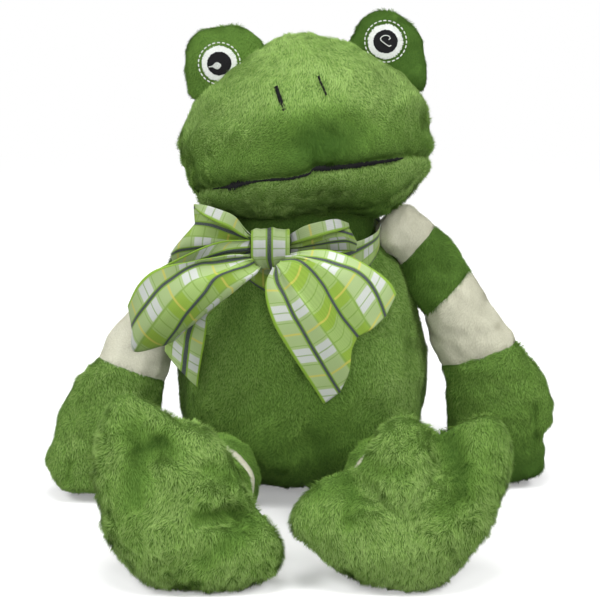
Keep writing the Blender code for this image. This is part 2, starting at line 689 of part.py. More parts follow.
def build_arm(side, swing, edges, tip):
    """One arm: a cream root, a green band, a cream band, a green hand, and one length of filling."""
    name = SIDE_NAMES[side]
    turn = Matrix.Rotation(-swing, 3, "X")
    pivot = empty(f"shoulder_{name}_pivot", (side * SHOULDER_X, 0.0, SHOULDER_Z), turn)
    along = Vector((math.cos(SHOULDER_TILT), 0.0, -math.sin(SHOULDER_TILT)))
    rings = []
    for ring in root_rings(along, SHOULDER_RADIUS, LIMB_SIDES, (28, 55, 80)):
        rings.append(ring)
    first = edge_ring(edges[0])
    shift = min(range(LIMB_SIDES), key=lambda k: (rings[-1][k] - first[0]).length)
    step = 1 if (rings[-1][(shift + 1) % LIMB_SIDES] - first[1]).length < (
        rings[-1][shift - 1] - first[1]).length else -1
    rings = [[ring[(shift + step * j) % LIMB_SIDES] for j in range(LIMB_SIDES)] for ring in rings]
    rings += [edge_ring(edge) for edge in edges]
    if side == LEFT:
        rings = [[Vector((-p.x, p.y, p.z)) for p in ring] for ring in rings]
        along.x = -along.x
    root = -along * SHOULDER_RADIUS
    tip = Vector((side * tip[0], 0.0, tip[1])) * ARM_DROP
    form = Form(rings, start=root, end=tip)
    seams = (0, ROOT_RINGS, ROOT_RINGS + 2, ROOT_RINGS + 4, len(rings) - 1)
    labels = (
        (f"arm_{name}_shoulder_band", CREAM_PILE), (f"arm_{name}_green_band", GREEN_PILE),
        (f"arm_{name}_cream_band", CREAM_PILE), (f"arm_{name}_hand", GREEN_PILE),
    )
    for first, last, (label, colour) in zip(seams, seams[1:], labels):
        sewn_skin(label, form, first, last, colour, pivot)
    stuffing = limb_filling(f"arm_{name}_filling", rings, tip, pivot)
    add_root_wad(f"arm_{name}_shoulder_wad", SHOULDER_RADIUS, LIMB_SIDES, pivot, stuffing)
    return socket_cutter(f"shoulder_{name}_socket", SHOULDER_RADIUS, LIMB_SIDES, pivot.location)


def limb_filling(name, rings, tip, pivot):
    """The filling of a limb from the middle of its root on, where it seats the root's wad."""
    pairs = zip(rings[ROOT_RINGS - 1], rings[ROOT_RINGS])
    rim = [a.lerp(b, ROOT_RIM_SHARE) * (1 - ROOT_RIM_SHARE) for a, b in pairs]
    return filling(name, Form([rim] + rings[ROOT_RINGS:], start=Vector(), end=tip), pivot)


def add_root_wad(name, radius, sides, pivot, stuffing):
    """A round wad of filling in the limb's root, and the seat that the limb's filling has for it."""
    wad_radius = (radius - WALL) * math.cos(math.pi / sides) ** 2 - GAP
    wad = ball(name, wad_radius, sides, pivot)
    seat = as_cutter(ball(name + "_seat", wad_radius + GAP, sides, pivot, outside=True))
    cut(stuffing, seat)
    return wad


def socket_cutter(name, radius, sides, location):
    return as_cutter(ball(name, radius + GAP, sides, location=location, outside=True))


def build_leg(side):
    """One leg: a green thigh, a cream band and a green shin, round at both ends."""
    name = SIDE_NAMES[side]
    hip = Vector((side * HIP_X, HIP_Y, HIP_Z))
    ankle = Vector((side * ANKLE_X, ANKLE_Y, ANKLE_Z))
    pivot = empty(f"hip_{name}_pivot", hip)
    length = (ankle - hip).length
    along = (ankle - hip).normalized()
    rings = root_rings(along, HIP_RADIUS, LIMB_SIDES, (28, 54, 78))
    spans = (
        (THIGH_SHARE, THIGH_RADIUS), (LEG_BAND_1_SHARE, THIGH_RADIUS), (LEG_BAND_2_SHARE, CREAM_RADIUS),
        (SHIN_SHARE, SHIN_RADIUS),
    )
    for share, radius in spans:
        rings.append(round_ring(along * length * share, along, radius, LIMB_SIDES))
    for ring in root_rings(-along, ANKLE_RADIUS, LIMB_SIDES, (88, 62, 34)):
        turned = [ring[-j % LIMB_SIDES] + along * length for j in range(LIMB_SIDES)]
        shift = min(range(LIMB_SIDES), key=lambda k: (turned[k] - rings[-1][0]).length)
        rings.append([turned[(shift + j) % LIMB_SIDES] for j in range(LIMB_SIDES)])
    root = -along * HIP_RADIUS
    tip = along * (length + ANKLE_RADIUS)
    form = Form(rings, start=root, end=tip)
    seams = (0, ROOT_RINGS + 1, ROOT_RINGS + 2, len(rings) - 1)
    labels = (
        (f"leg_{name}_thigh", GREEN_PILE), (f"leg_{name}_cream_band", CREAM_PILE), (f"leg_{name}_shin", GREEN_PILE),
    )
    for first, last, (label, colour) in zip(seams, seams[1:], labels):
        sewn_skin(label, form, first, last, colour, pivot)
    stuffing = limb_filling(f"leg_{name}_filling", rings, tip, pivot)
    add_root_wad(f"leg_{name}_hip_wad", HIP_RADIUS, LIMB_SIDES, pivot, stuffing)
    return socket_cutter(f"hip_{name}_socket", HIP_RADIUS, LIMB_SIDES, hip)


def foot_form(outline, webs):
    """The foot as a pillow in its outline, thin at its rim and drawn in along the two webs."""
    rings = []
    middle = (len(FOOT_LAYER_SHARES) - 1) / 2
    for i, share in enumerate(FOOT_LAYER_SHARES):
        bulge = math.sqrt(1 - share ** 3)
        lean = 1 if i < middle else -1
        ring = []
        for j in range(FOOT_SIDES):
            angle = 360 * j / FOOT_SIDES - 180
            radius = FOOT_REACH * follow(outline, angle) * share
            web = max(max(0.0, 1 - abs(angle - place) / WEB_DENT_SPREAD) for place in webs)
            depth = lean * FOOT_HALF_DEPTH * bulge * (1 - WEB_DENT_SHARE * web * share)
            turn = math.radians(angle)
            ring.append(Vector((radius * math.sin(turn), depth, radius * math.cos(turn))))
        rings.append(ring)
    pole = Vector((0.0, FOOT_HALF_DEPTH, 0.0))
    return Form(rings, start=pole, end=-pole)


def split_foot(form):
    """The two panels of the foot, back and sole, which are sewn together round its rim."""
    rim = FOOT_LAYER_SHARES.index(1.0)
    return ("back", 0, rim), ("sole", rim, len(form.rings) - 1)


def build_foot(side, heel_x, outline, webs, floor):
    """One webbed foot, its middle toe up and its sole towards -Y."""
    name = SIDE_NAMES[side]
    ankle = Vector((side * ANKLE_X, ANKLE_Y, ANKLE_Z))
    pivot = empty(f"ankle_{name}_pivot", ankle)
    lean = Matrix.Rotation(FOOT_LEAN, 3, "X")
    form = foot_form(outline, webs)
    lowest = min((lean @ p).z for ring in form.rings for p in ring)
    back = lean @ Vector((0.0, -(FOOT_SEAT + FOOT_HALF_DEPTH), 0.0))
    rise = -FLOOR_CUT - lowest - ankle.z
    slide = lean @ Vector((0.0, 0.0, 1.0))
    place = back + slide * (rise - back.z) / slide.z
    place.x = heel_x - ankle.x
    heel = empty(f"foot_{name}_heel", place, lean, pivot)
    pieces = []
    for panel, first, last in split_foot(form):
        pieces.append(sewn_skin(f"foot_{name}_{panel}", form, first, last, parent=heel))
    pieces.append(filling(f"foot_{name}_filling", form, heel, clear=3 * GAP))
    socket = as_cutter(ball(f"ankle_{name}_socket", ANKLE_RADIUS + GAP, LIMB_SIDES, pivot, outside=True))
    for piece in pieces:
        cut(piece, socket, floor)


def woven_piece(name, rows, closed=False):
    """A sheet of ribbon through rows of points across it, given the ribbon's thickness."""
    bm = bmesh.new()
    grid = [[bm.verts.new(p) for p in row] for row in rows]
    pairs = list(zip(grid, grid[1:]))
    if closed:
        pairs.append((grid[-1], grid[0]))
    for low, high in pairs:
        for j in range(len(low) - 1):
            bm.faces.new((low[j], low[j + 1], high[j + 1], high[j]))
    bmesh.ops.recalc_face_normals(bm, faces=bm.faces)
    sheet = add_object(name, bm, RIBBON_LIME, 0.6)
    solidify = sheet.modifiers.new("cloth", "SOLIDIFY")
    solidify.thickness = RIBBON_THICK
    solidify.offset = 0.0
    solidify.use_even_offset = True
    return sheet


def bow_piece(name, edges, steps, knot):
    """A loop or tail of the bow, through lengthwise edges that start at the knot."""
    runs = [smooth_run([Vector(p) * RIBBON_WIDTH for p in edge], steps) for edge in edges]
    rows = []
    for row in zip(*runs):
        rows.append([knot + p for p in smooth_run(row, RIBBON_COLUMNS)])
    return woven_piece(name, rows)


def band_share(angle):
    """The neck band's part of the body's width at an angle: it stands off further in front and behind."""
    return BAND_SIDE_SHARE + (BAND_FRONT_SHARE - BAND_SIDE_SHARE) * math.sin(angle) ** 2


def knot_place():
    """The knot's middle, laid against the front of the neck band."""
    fronts = []
    for place, share in KNOT_SHARES:
        angle = -math.pi / 2
        for _ in range(8):
            angle = -math.acos((KNOT_X + place * KNOT_HALF_WIDTH) / (BODY_HALF_WIDTH * band_share(angle)))
        front = BODY_FRONT * band_share(angle) * math.sin(angle) - RIBBON_THICK / 2 - GAP
        fronts.append(front - share * KNOT_HALF_DEPTH)
    return Vector((KNOT_X, min(fronts), KNOT_Z))


def build_ribbon():
    rows = []
    for i in range(BAND_SIDES):
        angle = 2 * math.pi * i / BAND_SIDES
        share = band_share(angle)
        depth = BODY_FRONT if math.sin(angle) < 0 else BODY_BACK
        low = body_level(share) + RIBBON_THICK + GAP
        row = []
        for level in (low, (low + BAND_TOP_Z) / 2, BAND_TOP_Z):
            row.append(Vector((BODY_HALF_WIDTH * share * math.cos(angle), depth * share * math.sin(angle), level)))
        rows.append(row)
    woven_piece("ribbon_neck_band", rows, closed=True)
    knot = knot_place()
    rings = []
    for place, share in KNOT_SHARES:
        ring = []
        for j in range(KNOT_SIDES):
            angle = 2 * math.pi * j / KNOT_SIDES
            across = math.copysign(abs(math.cos(angle)) ** 0.7, math.cos(angle)) * KNOT_HALF_DEPTH * share
            up = math.copysign(abs(math.sin(angle)) ** 0.8, math.sin(angle)) * KNOT_HALF_HEIGHT * share
            ring.append(knot + Vector((place * KNOT_HALF_WIDTH, across, up)))
        rings.append(ring)
    mesh_object("ribbon_knot", rings, colour=RIBBON_LIME, roughness=0.6)
    bow_piece("ribbon_loop_left", LEFT_LOOP_EDGE_SHARES, 17, knot)
    bow_piece("ribbon_back_loop_left", BACK_LOOP_LEFT_EDGE_SHARES, 13, knot)
    bow_piece("ribbon_back_loop_right", BACK_LOOP_RIGHT_EDGE_SHARES, 13, knot)
    bow_piece("ribbon_tail_left", LEFT_TAIL_EDGE_SHARES, 9, knot)
    bow_piece("ribbon_tail_right", RIGHT_TAIL_EDGE_SHARES, 9, knot)


def build():
    for item in list(bpy.data.objects):
        bpy.data.objects.remove(item, do_unlink=True)
    floor = floor_cutter()
    neck = empty("neck_pivot", (0.0, NECK_Y, BODY_HEIGHT + NECK_RISE))
    ball("neck_wad", NECK_RADIUS, NECK_SIDES, neck)
    cutters = [floor]
    cutters.append(
        as_cutter(ball("body_neck_socket", NECK_RADIUS + GAP, NECK_SIDES, location=neck.location, outside=True))
    )
    cutters.append(build_arm(LEFT, LEFT_ARM_SWING, LEFT_ARM_EDGE_SHARES, LEFT_TIP_SHARES))
    cutters.append(build_arm(RIGHT, RIGHT_ARM_SWING, RIGHT_ARM_EDGE_SHARES, RIGHT_TIP_SHARES))
    for side in (LEFT, RIGHT):
        cutters.append(build_leg(side))
    build_foot(LEFT, LEFT_HEEL_X, LEFT_TOE_SHARES, LEFT_WEB_ANGLES, floor)
    build_foot(RIGHT, RIGHT_HEEL_X, RIGHT_TOE_SHARES, RIGHT_WEB_ANGLES, floor)
    build_body(cutters)
    build_head(neck)
    build_ribbon()


build()
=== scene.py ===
"""Sitting plush frog with banded limbs, webbed feet and a plaid ribbon bow: what shows of it."""

import math

import bpy
import numpy as np
from mathutils import Matrix, Vector


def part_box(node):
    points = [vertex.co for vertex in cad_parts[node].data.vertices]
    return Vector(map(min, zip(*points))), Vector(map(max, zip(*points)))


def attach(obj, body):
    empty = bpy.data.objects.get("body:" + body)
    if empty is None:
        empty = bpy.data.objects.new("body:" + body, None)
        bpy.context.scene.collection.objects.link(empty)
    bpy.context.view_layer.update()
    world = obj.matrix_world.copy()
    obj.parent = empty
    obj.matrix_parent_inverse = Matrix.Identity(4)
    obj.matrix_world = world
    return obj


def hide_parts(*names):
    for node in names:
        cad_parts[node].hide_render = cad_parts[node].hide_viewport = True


MM = 0.001
BAKE_MAP = "OFBake"
WEAVE_MAP = "weave"
LEFT = -1
RIGHT = 1
SIDE_NAMES = {LEFT: "left", RIGHT: "right"}

# A length that counts as nothing, a ring that counts as a point, and how far the backing stays off the floor
TINY = 1e-12
POINT_SIZE = 1e-7
FLOOR_GAP = 0.3 * MM

# Cloth: how far the woven backing lies inside the toy's outline, its pile by square metre, and its stuffing
BACKING_INSET = 0.9 * MM
PILE_LENGTH = 2.5 * MM
PILE_WIDTH = 0.34 * MM
PILE_DENSITY = 4.6e6
STRAND_LENGTHS = (0.7, 1.2)
STRAND_SPOT = 0.0015
FOOT_PILE_LENGTH = 3.1 * MM
FOOT_PILE_WIDTH = 0.38 * MM
CREAM_LENGTH = 1.3 * MM
CREAM_STRANDS = {"scatter": 0.12, "ruffle": 0.12, "width": 0.26 * MM, "density": 1.3}
SEAM_DEPTH = 0.6 * MM

# Crushed nap, in broad, middle and fine patches: scale, detail, roughness, from, to and share of the whole
NAP_PATCHES = (
    (38, 1.5, 0.5, 0.34, 0.68, 0.5), (150, 2.0, 0.55, 0.36, 0.66, 0.28), (700, 1.0, 0.5, 0.3, 0.7, 0.22),
)
THREAD_GRAIN = 1600

# Body
BODY_HEIGHT = 121 * MM
BODY_HALF_WIDTH = 58 * MM
BODY_FRONT = 52 * MM
BODY_BACK = 47 * MM
BODY_PROFILE = (
    (0.0, 0.0), (0.0, 0.45), (0.05, 0.76), (0.10, 0.865), (0.18, 0.945), (0.28, 0.985), (0.40, 1.0),
    (0.52, 0.985), (0.64, 0.935), (0.76, 0.85), (0.86, 0.755), (0.93, 0.66), (0.975, 0.545), (1.0, 0.30),
    (1.0, 0.0),
)
BELLY_SEAM_X = 1 * MM
BELLY_SEAM_DEPTH = 1.2 * MM
BODY_SHOULDER = 2 * MM
BODY_SHOULDER_Z = 98 * MM
BODY_FOOT_TUCK = 0.34

# Head, on its own axes about its middle
NECK_PIVOT = (0.0, -2 * MM, 124 * MM)
NECK_RADIUS = 21 * MM
NECK_SHARES = (1.6, 1.4, 1.0)
HEAD_HALF_WIDTH = 57.5 * MM
HEAD_HALF_HEIGHT = 41 * MM
HEAD_FRONT = 48 * MM
HEAD_BACK = 44 * MM
HEAD_PLACE = (7.2 * MM, -18.4 * MM, 43.8 * MM)
HEAD_PITCH = math.radians(-18)
HEAD_ROLL = math.radians(-8)
MUZZLE_FALL = 4.5 * MM
# Lips by height, place above the seam and width, and lumps by height, middle and reach, all in mm
LIPS = ((-2.6, 0, 1.9), (1.2, 7, 5), (1.0, -7, 5))
HEAD_LUMPS = (
    (3.4, (38, -37), (15, 9)), (2.8, (26, -42), (11, 8)), (-1.3, (-4, 41), (15, 9)),
    (-1.1, (-57, -14), (6, 10)), (-1.7, (57, -12), (8, 9)),
)
HEAD_PROFILE = (
    (1.0, 0.0), (1.0, 0.11), (0.94, 0.22), (0.84, 0.36), (0.68, 0.595), (0.43, 0.82), (0.22, 0.91),
    (0.02, 0.98), (-0.18, 1.0), (-0.42, 0.985), (-0.585, 0.95), (-0.70, 0.90), (-0.82, 0.80), (-0.92, 0.67),
    (-1.0, 0.50), (-1.03, 0.28), (-1.03, 0.0),
)

# Eyes
POUCH_RADIUS = 17 * MM
POUCH_HALF_DEPTH = 9 * MM
POUCH_ROUNDNESS = 0.85
POUCH_PLACES = {LEFT: (-34.8 * MM, -6 * MM, 30.4 * MM), RIGHT: (39.2 * MM, -6 * MM, 28.8 * MM)}
POUCH_OUTLINE_SHARES = {
    LEFT: (
        (0, 1.38), (20, 1.41), (32, 1.36), (44, 1.31), (54, 1.25), (66, 1.17), (79, 1.10), (98, 1.08),
        (113, 1.09), (127, 1.06), (142, 1.0), (163, 0.94), (182, 0.95), (201, 1.0), (218, 1.1), (234, 1.16),
        (270, 1.15), (310, 1.15), (340, 1.28), (360, 1.38),
    ),
    RIGHT: (
        (0, 1.17), (17, 1.07), (35, 1.03), (53, 1.01), (72, 0.96), (91, 0.97), (107, 0.97), (120, 0.95),
        (133, 0.885), (152, 0.865), (170, 0.985), (183, 1.13), (200, 1.13), (230, 1.2), (270, 1.35),
        (290, 1.5), (308, 1.62), (323, 1.42), (340, 1.22), (357, 1.165), (360, 1.17),
    ),
}
# Painted shade of the eye pouches' pile, the right one darker.
POUCH_PAINTED_LIGHT = {LEFT: 0.5, RIGHT: 0.2}
EYE_PLACES = {LEFT: (-34.0 * MM, 30.4 * MM), RIGHT: (40.5 * MM, 29.8 * MM)}
EYE_WHITE_RADIUS = 7.8 * MM
EYE_PUPIL_RADIUS = 5.3 * MM
RUNNING_RADIUS = 9.0 * MM
EYE_WHITE_STITCHES = 128
EYE_PUPIL_STITCHES = 34
RUNNING_STITCHES = 27
SATIN_WIDTH = 0.46 * MM
LEFT_GLINT_HEIGHTS = (0.4, 0.4, 0.5, 0.6, 1.2, 1.9, 2.6, 3.0, 3.1, 2.8, 2.2, 1.2)
RIGHT_GLINT_RUN = (
    (1.4, 0.5), (2.2, 1.0), (1.8, 2.0), (0.3, 2.6), (-1.4, 2.2), (-2.1, 1.0), (-0.7, -0.7), (1.2, -2.4),
    (2.0, -2.2),
)

# Mouth and nostrils, in the head's XZ plane
MOUTH_RUN = (
    (-44.1, -24.7), (-38, -25.0), (-32.8, -24.9), (-23, -24.8), (-16, -25.3), (-10.8, -25.8), (-5, -25.4),
    (-1.6, -24.9), (0.9, -23.1), (6, -23.6), (13.4, -23.9), (20, -24.0), (26.7, -23.8), (34, -23.6),
    (40.3, -23.1),
)
MOUTH_HALF_WIDTHS = (
    (-44.1, 0.35), (-40, 0.5), (-37.8, 0.9), (-36.5, 1.8), (-33.5, 2.0), (-31.5, 1.3), (-28, 1.0),
    (-24, 0.6), (-20, 0.55), (-17, 0.8), (-8, 0.75), (-3, 0.8), (-1.6, 0.6), (0.5, 0.9), (2, 1.35),
    (12, 1.3), (24, 1.25), (27.5, 1.1), (28.5, 0.8), (34, 1.0), (38, 0.8), (40.3, 0.3),
)
LEFT_NOSTRIL_RUN = ((-10.4, 14.2), (-10.0, 11.8), (-9.5, 8.6), (-8.9, 5.6), (-8.3, 3.3))
RIGHT_NOSTRIL_RUN = ((8.3, 16.0), (8.7, 13.8), (9.3, 11.6), (9.9, 9.4), (10.4, 7.4))
FACE_THREAD_WIDTH = 0.42 * MM

# Rows and columns of each piece's grid, and the points of a limb's ring before it is made finer
HEAD_GRID = (150, 210)
POUCH_GRID = (56, 96)
BODY_GRID = (110, 190)
NECK_GRID = (30, 60)
ARM_GRID = (106, 70)
LEG_GRID = (70, 84)
FOOT_GRID = (110, 180)
WAD_GRID = (14, 24)
BOW_GRID = (90, 65)
BAND_GRID = (120, 12)
KNOT_GRID = (70, 37)
LIMB_SIDES = 16

# Arms: outer x, outer z, inner x, inner z and half depth, from the shoulder's pivot down, in mm
SHOULDER = (45.5 * MM, 0.0, 119 * MM)
SHOULDER_RADIUS = 12.4 * MM
SHOULDER_TILT = math.radians(35)
ARM_SWINGS = {LEFT: math.radians(13), RIGHT: math.radians(5)}
ARM_EDGES = {
    RIGHT: (
        (15.6, 4.0, -1.8, -15.4, 10.8), (24.0, -3.8, 0.8, -27.0, 12.6), (31.9, -16.8, 8.6, -39.0, 14.2),
        (43.0, -34.0, 12.4, -49.4, 14.6), (54.0, -50.1, 18.0, -62.2, 13.8),
        (65.2, -63.5, 19.8, -69.5, 12.8), (71.0, -77.5, 21.2, -81.0, 12.2),
        (71.6, -87.0, 22.2, -91.0, 11.6), (68.4, -96.0, 23.6, -100.0, 10.8),
        (67.8, -105.5, 26.0, -108.4, 10.8), (65.4, -114.5, 33.0, -115.0, 8.8),
    ),
    LEFT: (
        (13.2, 1.6, 1.0, -14.4, 10.8), (21.5, -7.0, 3.4, -27.0, 12.6), (29.0, -21.0, 9.8, -40.0, 14.2),
        (39.4, -40.5, 12.4, -53.0, 14.6), (49.4, -55.8, 16.2, -68.0, 13.8),
        (59.8, -68.4, 18.2, -75.5, 12.8), (66.4, -81.0, 20.2, -86.0, 12.2),
        (69.8, -92.5, 22.6, -96.5, 12.0), (73.4, -103.0, 25.0, -105.5, 12.0),
        (71.4, -111.5, 29.5, -112.0, 11.4), (65.4, -117.0, 37.0, -117.0, 9.4),
    ),
}
ARM_TIPS = {RIGHT: (50.5, -118.4), LEFT: (51.0, -120.0)}
LEFT_SHOULDER_TUCK = 9 * MM
HAND_REACH = 3.5 * MM
THUMB_CREASE_DEPTH = 2.4 * MM
THUMB_CREASES = {LEFT: (106.8 * MM, 9 * MM, 24 * MM), RIGHT: (107.8 * MM, 21 * MM, 44 * MM)}
ARM_SEAM_ROWS = (0, 4, 6, 8, 15)
ARM_ROWS = 16

# Legs
LEG_SEAM_ROWS = (0, 5.45, 6.05, 11)
LEG_ROWS = 12
HIP = (38.5 * MM, -54 * MM, 22.5 * MM)
HIP_RADIUS = 17.5 * MM
ANKLE = (44 * MM, -99 * MM, 24 * MM)
ANKLE_RADIUS = 15 * MM
LEG_SECTIONS = ((0.18, 21.5 * MM), (0.34, 21.5 * MM), (0.50, 20.4 * MM), (0.72, 18 * MM))

# Feet: the outline as (angle from straight up, radius share), clockwise, with a web between each pair of toes
FOOT_REACH = 60 * MM
FOOT_HALF_DEPTH = 14 * MM
FOOT_LEAN = math.radians(-18)
FOOT_SEAT = 11.4 * MM
FLOOR_CUT = 0.5 * MM
WEB_SINK = 0.55
HOLLOW_DEPTH = 2.8 * MM
HEEL_X = {LEFT: -60 * MM, RIGHT: 46 * MM}
TOE_OUTLINES = {
    LEFT: (
        (-180, 0.42), (-150, 0.37), (-119, 0.36), (-91, 0.41), (-70, 0.47), (-46, 0.67), (-28, 0.89),
        (-17, 1.0), (-5, 0.9), (8, 0.79), (25, 0.79), (42, 0.73), (58, 0.68), (72, 0.68), (84, 0.75),
        (96, 0.87), (105, 0.90), (115, 0.84), (131, 0.66), (156, 0.47), (180, 0.42),
    ),
    RIGHT: (
        (-180, 0.43), (-157, 0.43), (-131, 0.52), (-113, 0.63), (-99, 0.73), (-87, 0.86), (-73, 0.82),
        (-58, 0.71), (-42, 0.60), (-28, 0.66), (-14, 0.78), (-3, 0.81), (7, 0.77), (16, 0.72), (25, 0.85),
        (35, 1.0), (46, 0.97), (60, 0.82), (75, 0.64), (93, 0.54), (114, 0.46), (146, 0.43), (180, 0.43),
    ),
}
# Hollows of the soles, each along a line from x, z to x, z (mm), with its reach (mm) and its strength
FOOT_HOLLOWS = {
    LEFT: (
        (-58, 63, -68, 60, 5.5, 1.0), (-68, 60, -70.5, 43, 6, 0.75), (-66, 60, -72, 68, 6, 0.6),
        (-40, 54, -29, 48, 3.5, 0.55), (-43, 36.5, -31, 33, 3.5, 0.7), (-31, 33, -22.5, 29, 4, 0.85),
        (-25, 28.5, -34, 23, 4.5, 0.7), (-34, 23, -40, 17, 5, 0.45),
    ),
    RIGHT: (
        (62.5, 63, 66, 51, 5.5, 1.0), (66, 51, 66, 43.5, 5, 0.9), (66, 43, 60, 39, 5, 0.5),
        (28, 53.5, 42, 53, 4, 0.45), (6.5, 41, 18, 46, 4, 0.5), (18, 46, 21.5, 41, 3.5, 0.75),
        (21.5, 41, 19, 33, 3.5, 0.65),
    ),
}
WEB_ANGLES = {LEFT: (-8, 80), RIGHT: (-46, 24)}

# Ribbon: its plaid and stripes in shares of its width, and how it is gathered at the knot
RIBBON_WIDTH = 38 * MM
RIBBON_THICK = 0.35 * MM
PLAID_REPEATS = 1.74
BAND_SIDE_SHARE = 0.62
BAND_FRONT_SHARE = 0.80
BAND_TOP_Z = 124 * MM
BAND_SEEN_SHARE = 0.42
KNOT_SEEN_SHARE = 0.38
STRIPE_SHARES = (0.18, 0.5, 0.82)
STRIPE_HALF_SHARE = 0.04
YARN_TURNS = 520.0
PLEAT_HEIGHT = 1.3 * MM
PLEAT_REACH = 13 * MM
# Painted shade of the bow: how much darker the ribbon is painted at the knot's gathers, and by piece where it
# lies in the head's shadow.
GATHER_SHADE = 0.3
BOW_PAINTED_SHADE = {
    "ribbon_knot": 0.86, "ribbon_back_loop_left": 0.74, "ribbon_back_loop_right": 0.6,
    "ribbon_loop_left": 0.88, "ribbon_neck_band": 0.85,
}
# Pieces that are modelled without the cloth that their gathers at the knot take up. Their area is that of the
# cloth modelled.
PLAID_STARTS = {
    "ribbon_loop_left": -0.18, "ribbon_back_loop_left": 0.0, "ribbon_back_loop_right": 0.0,
    "ribbon_tail_left": 0.3, "ribbon_tail_right": 0.0, "ribbon_knot": 0.05,
}
KNOT_HALF_WIDTH = 8.5 * MM
KNOT_HALF_HEIGHT = 9.5 * MM
KNOT_HALF_DEPTH = 5 * MM
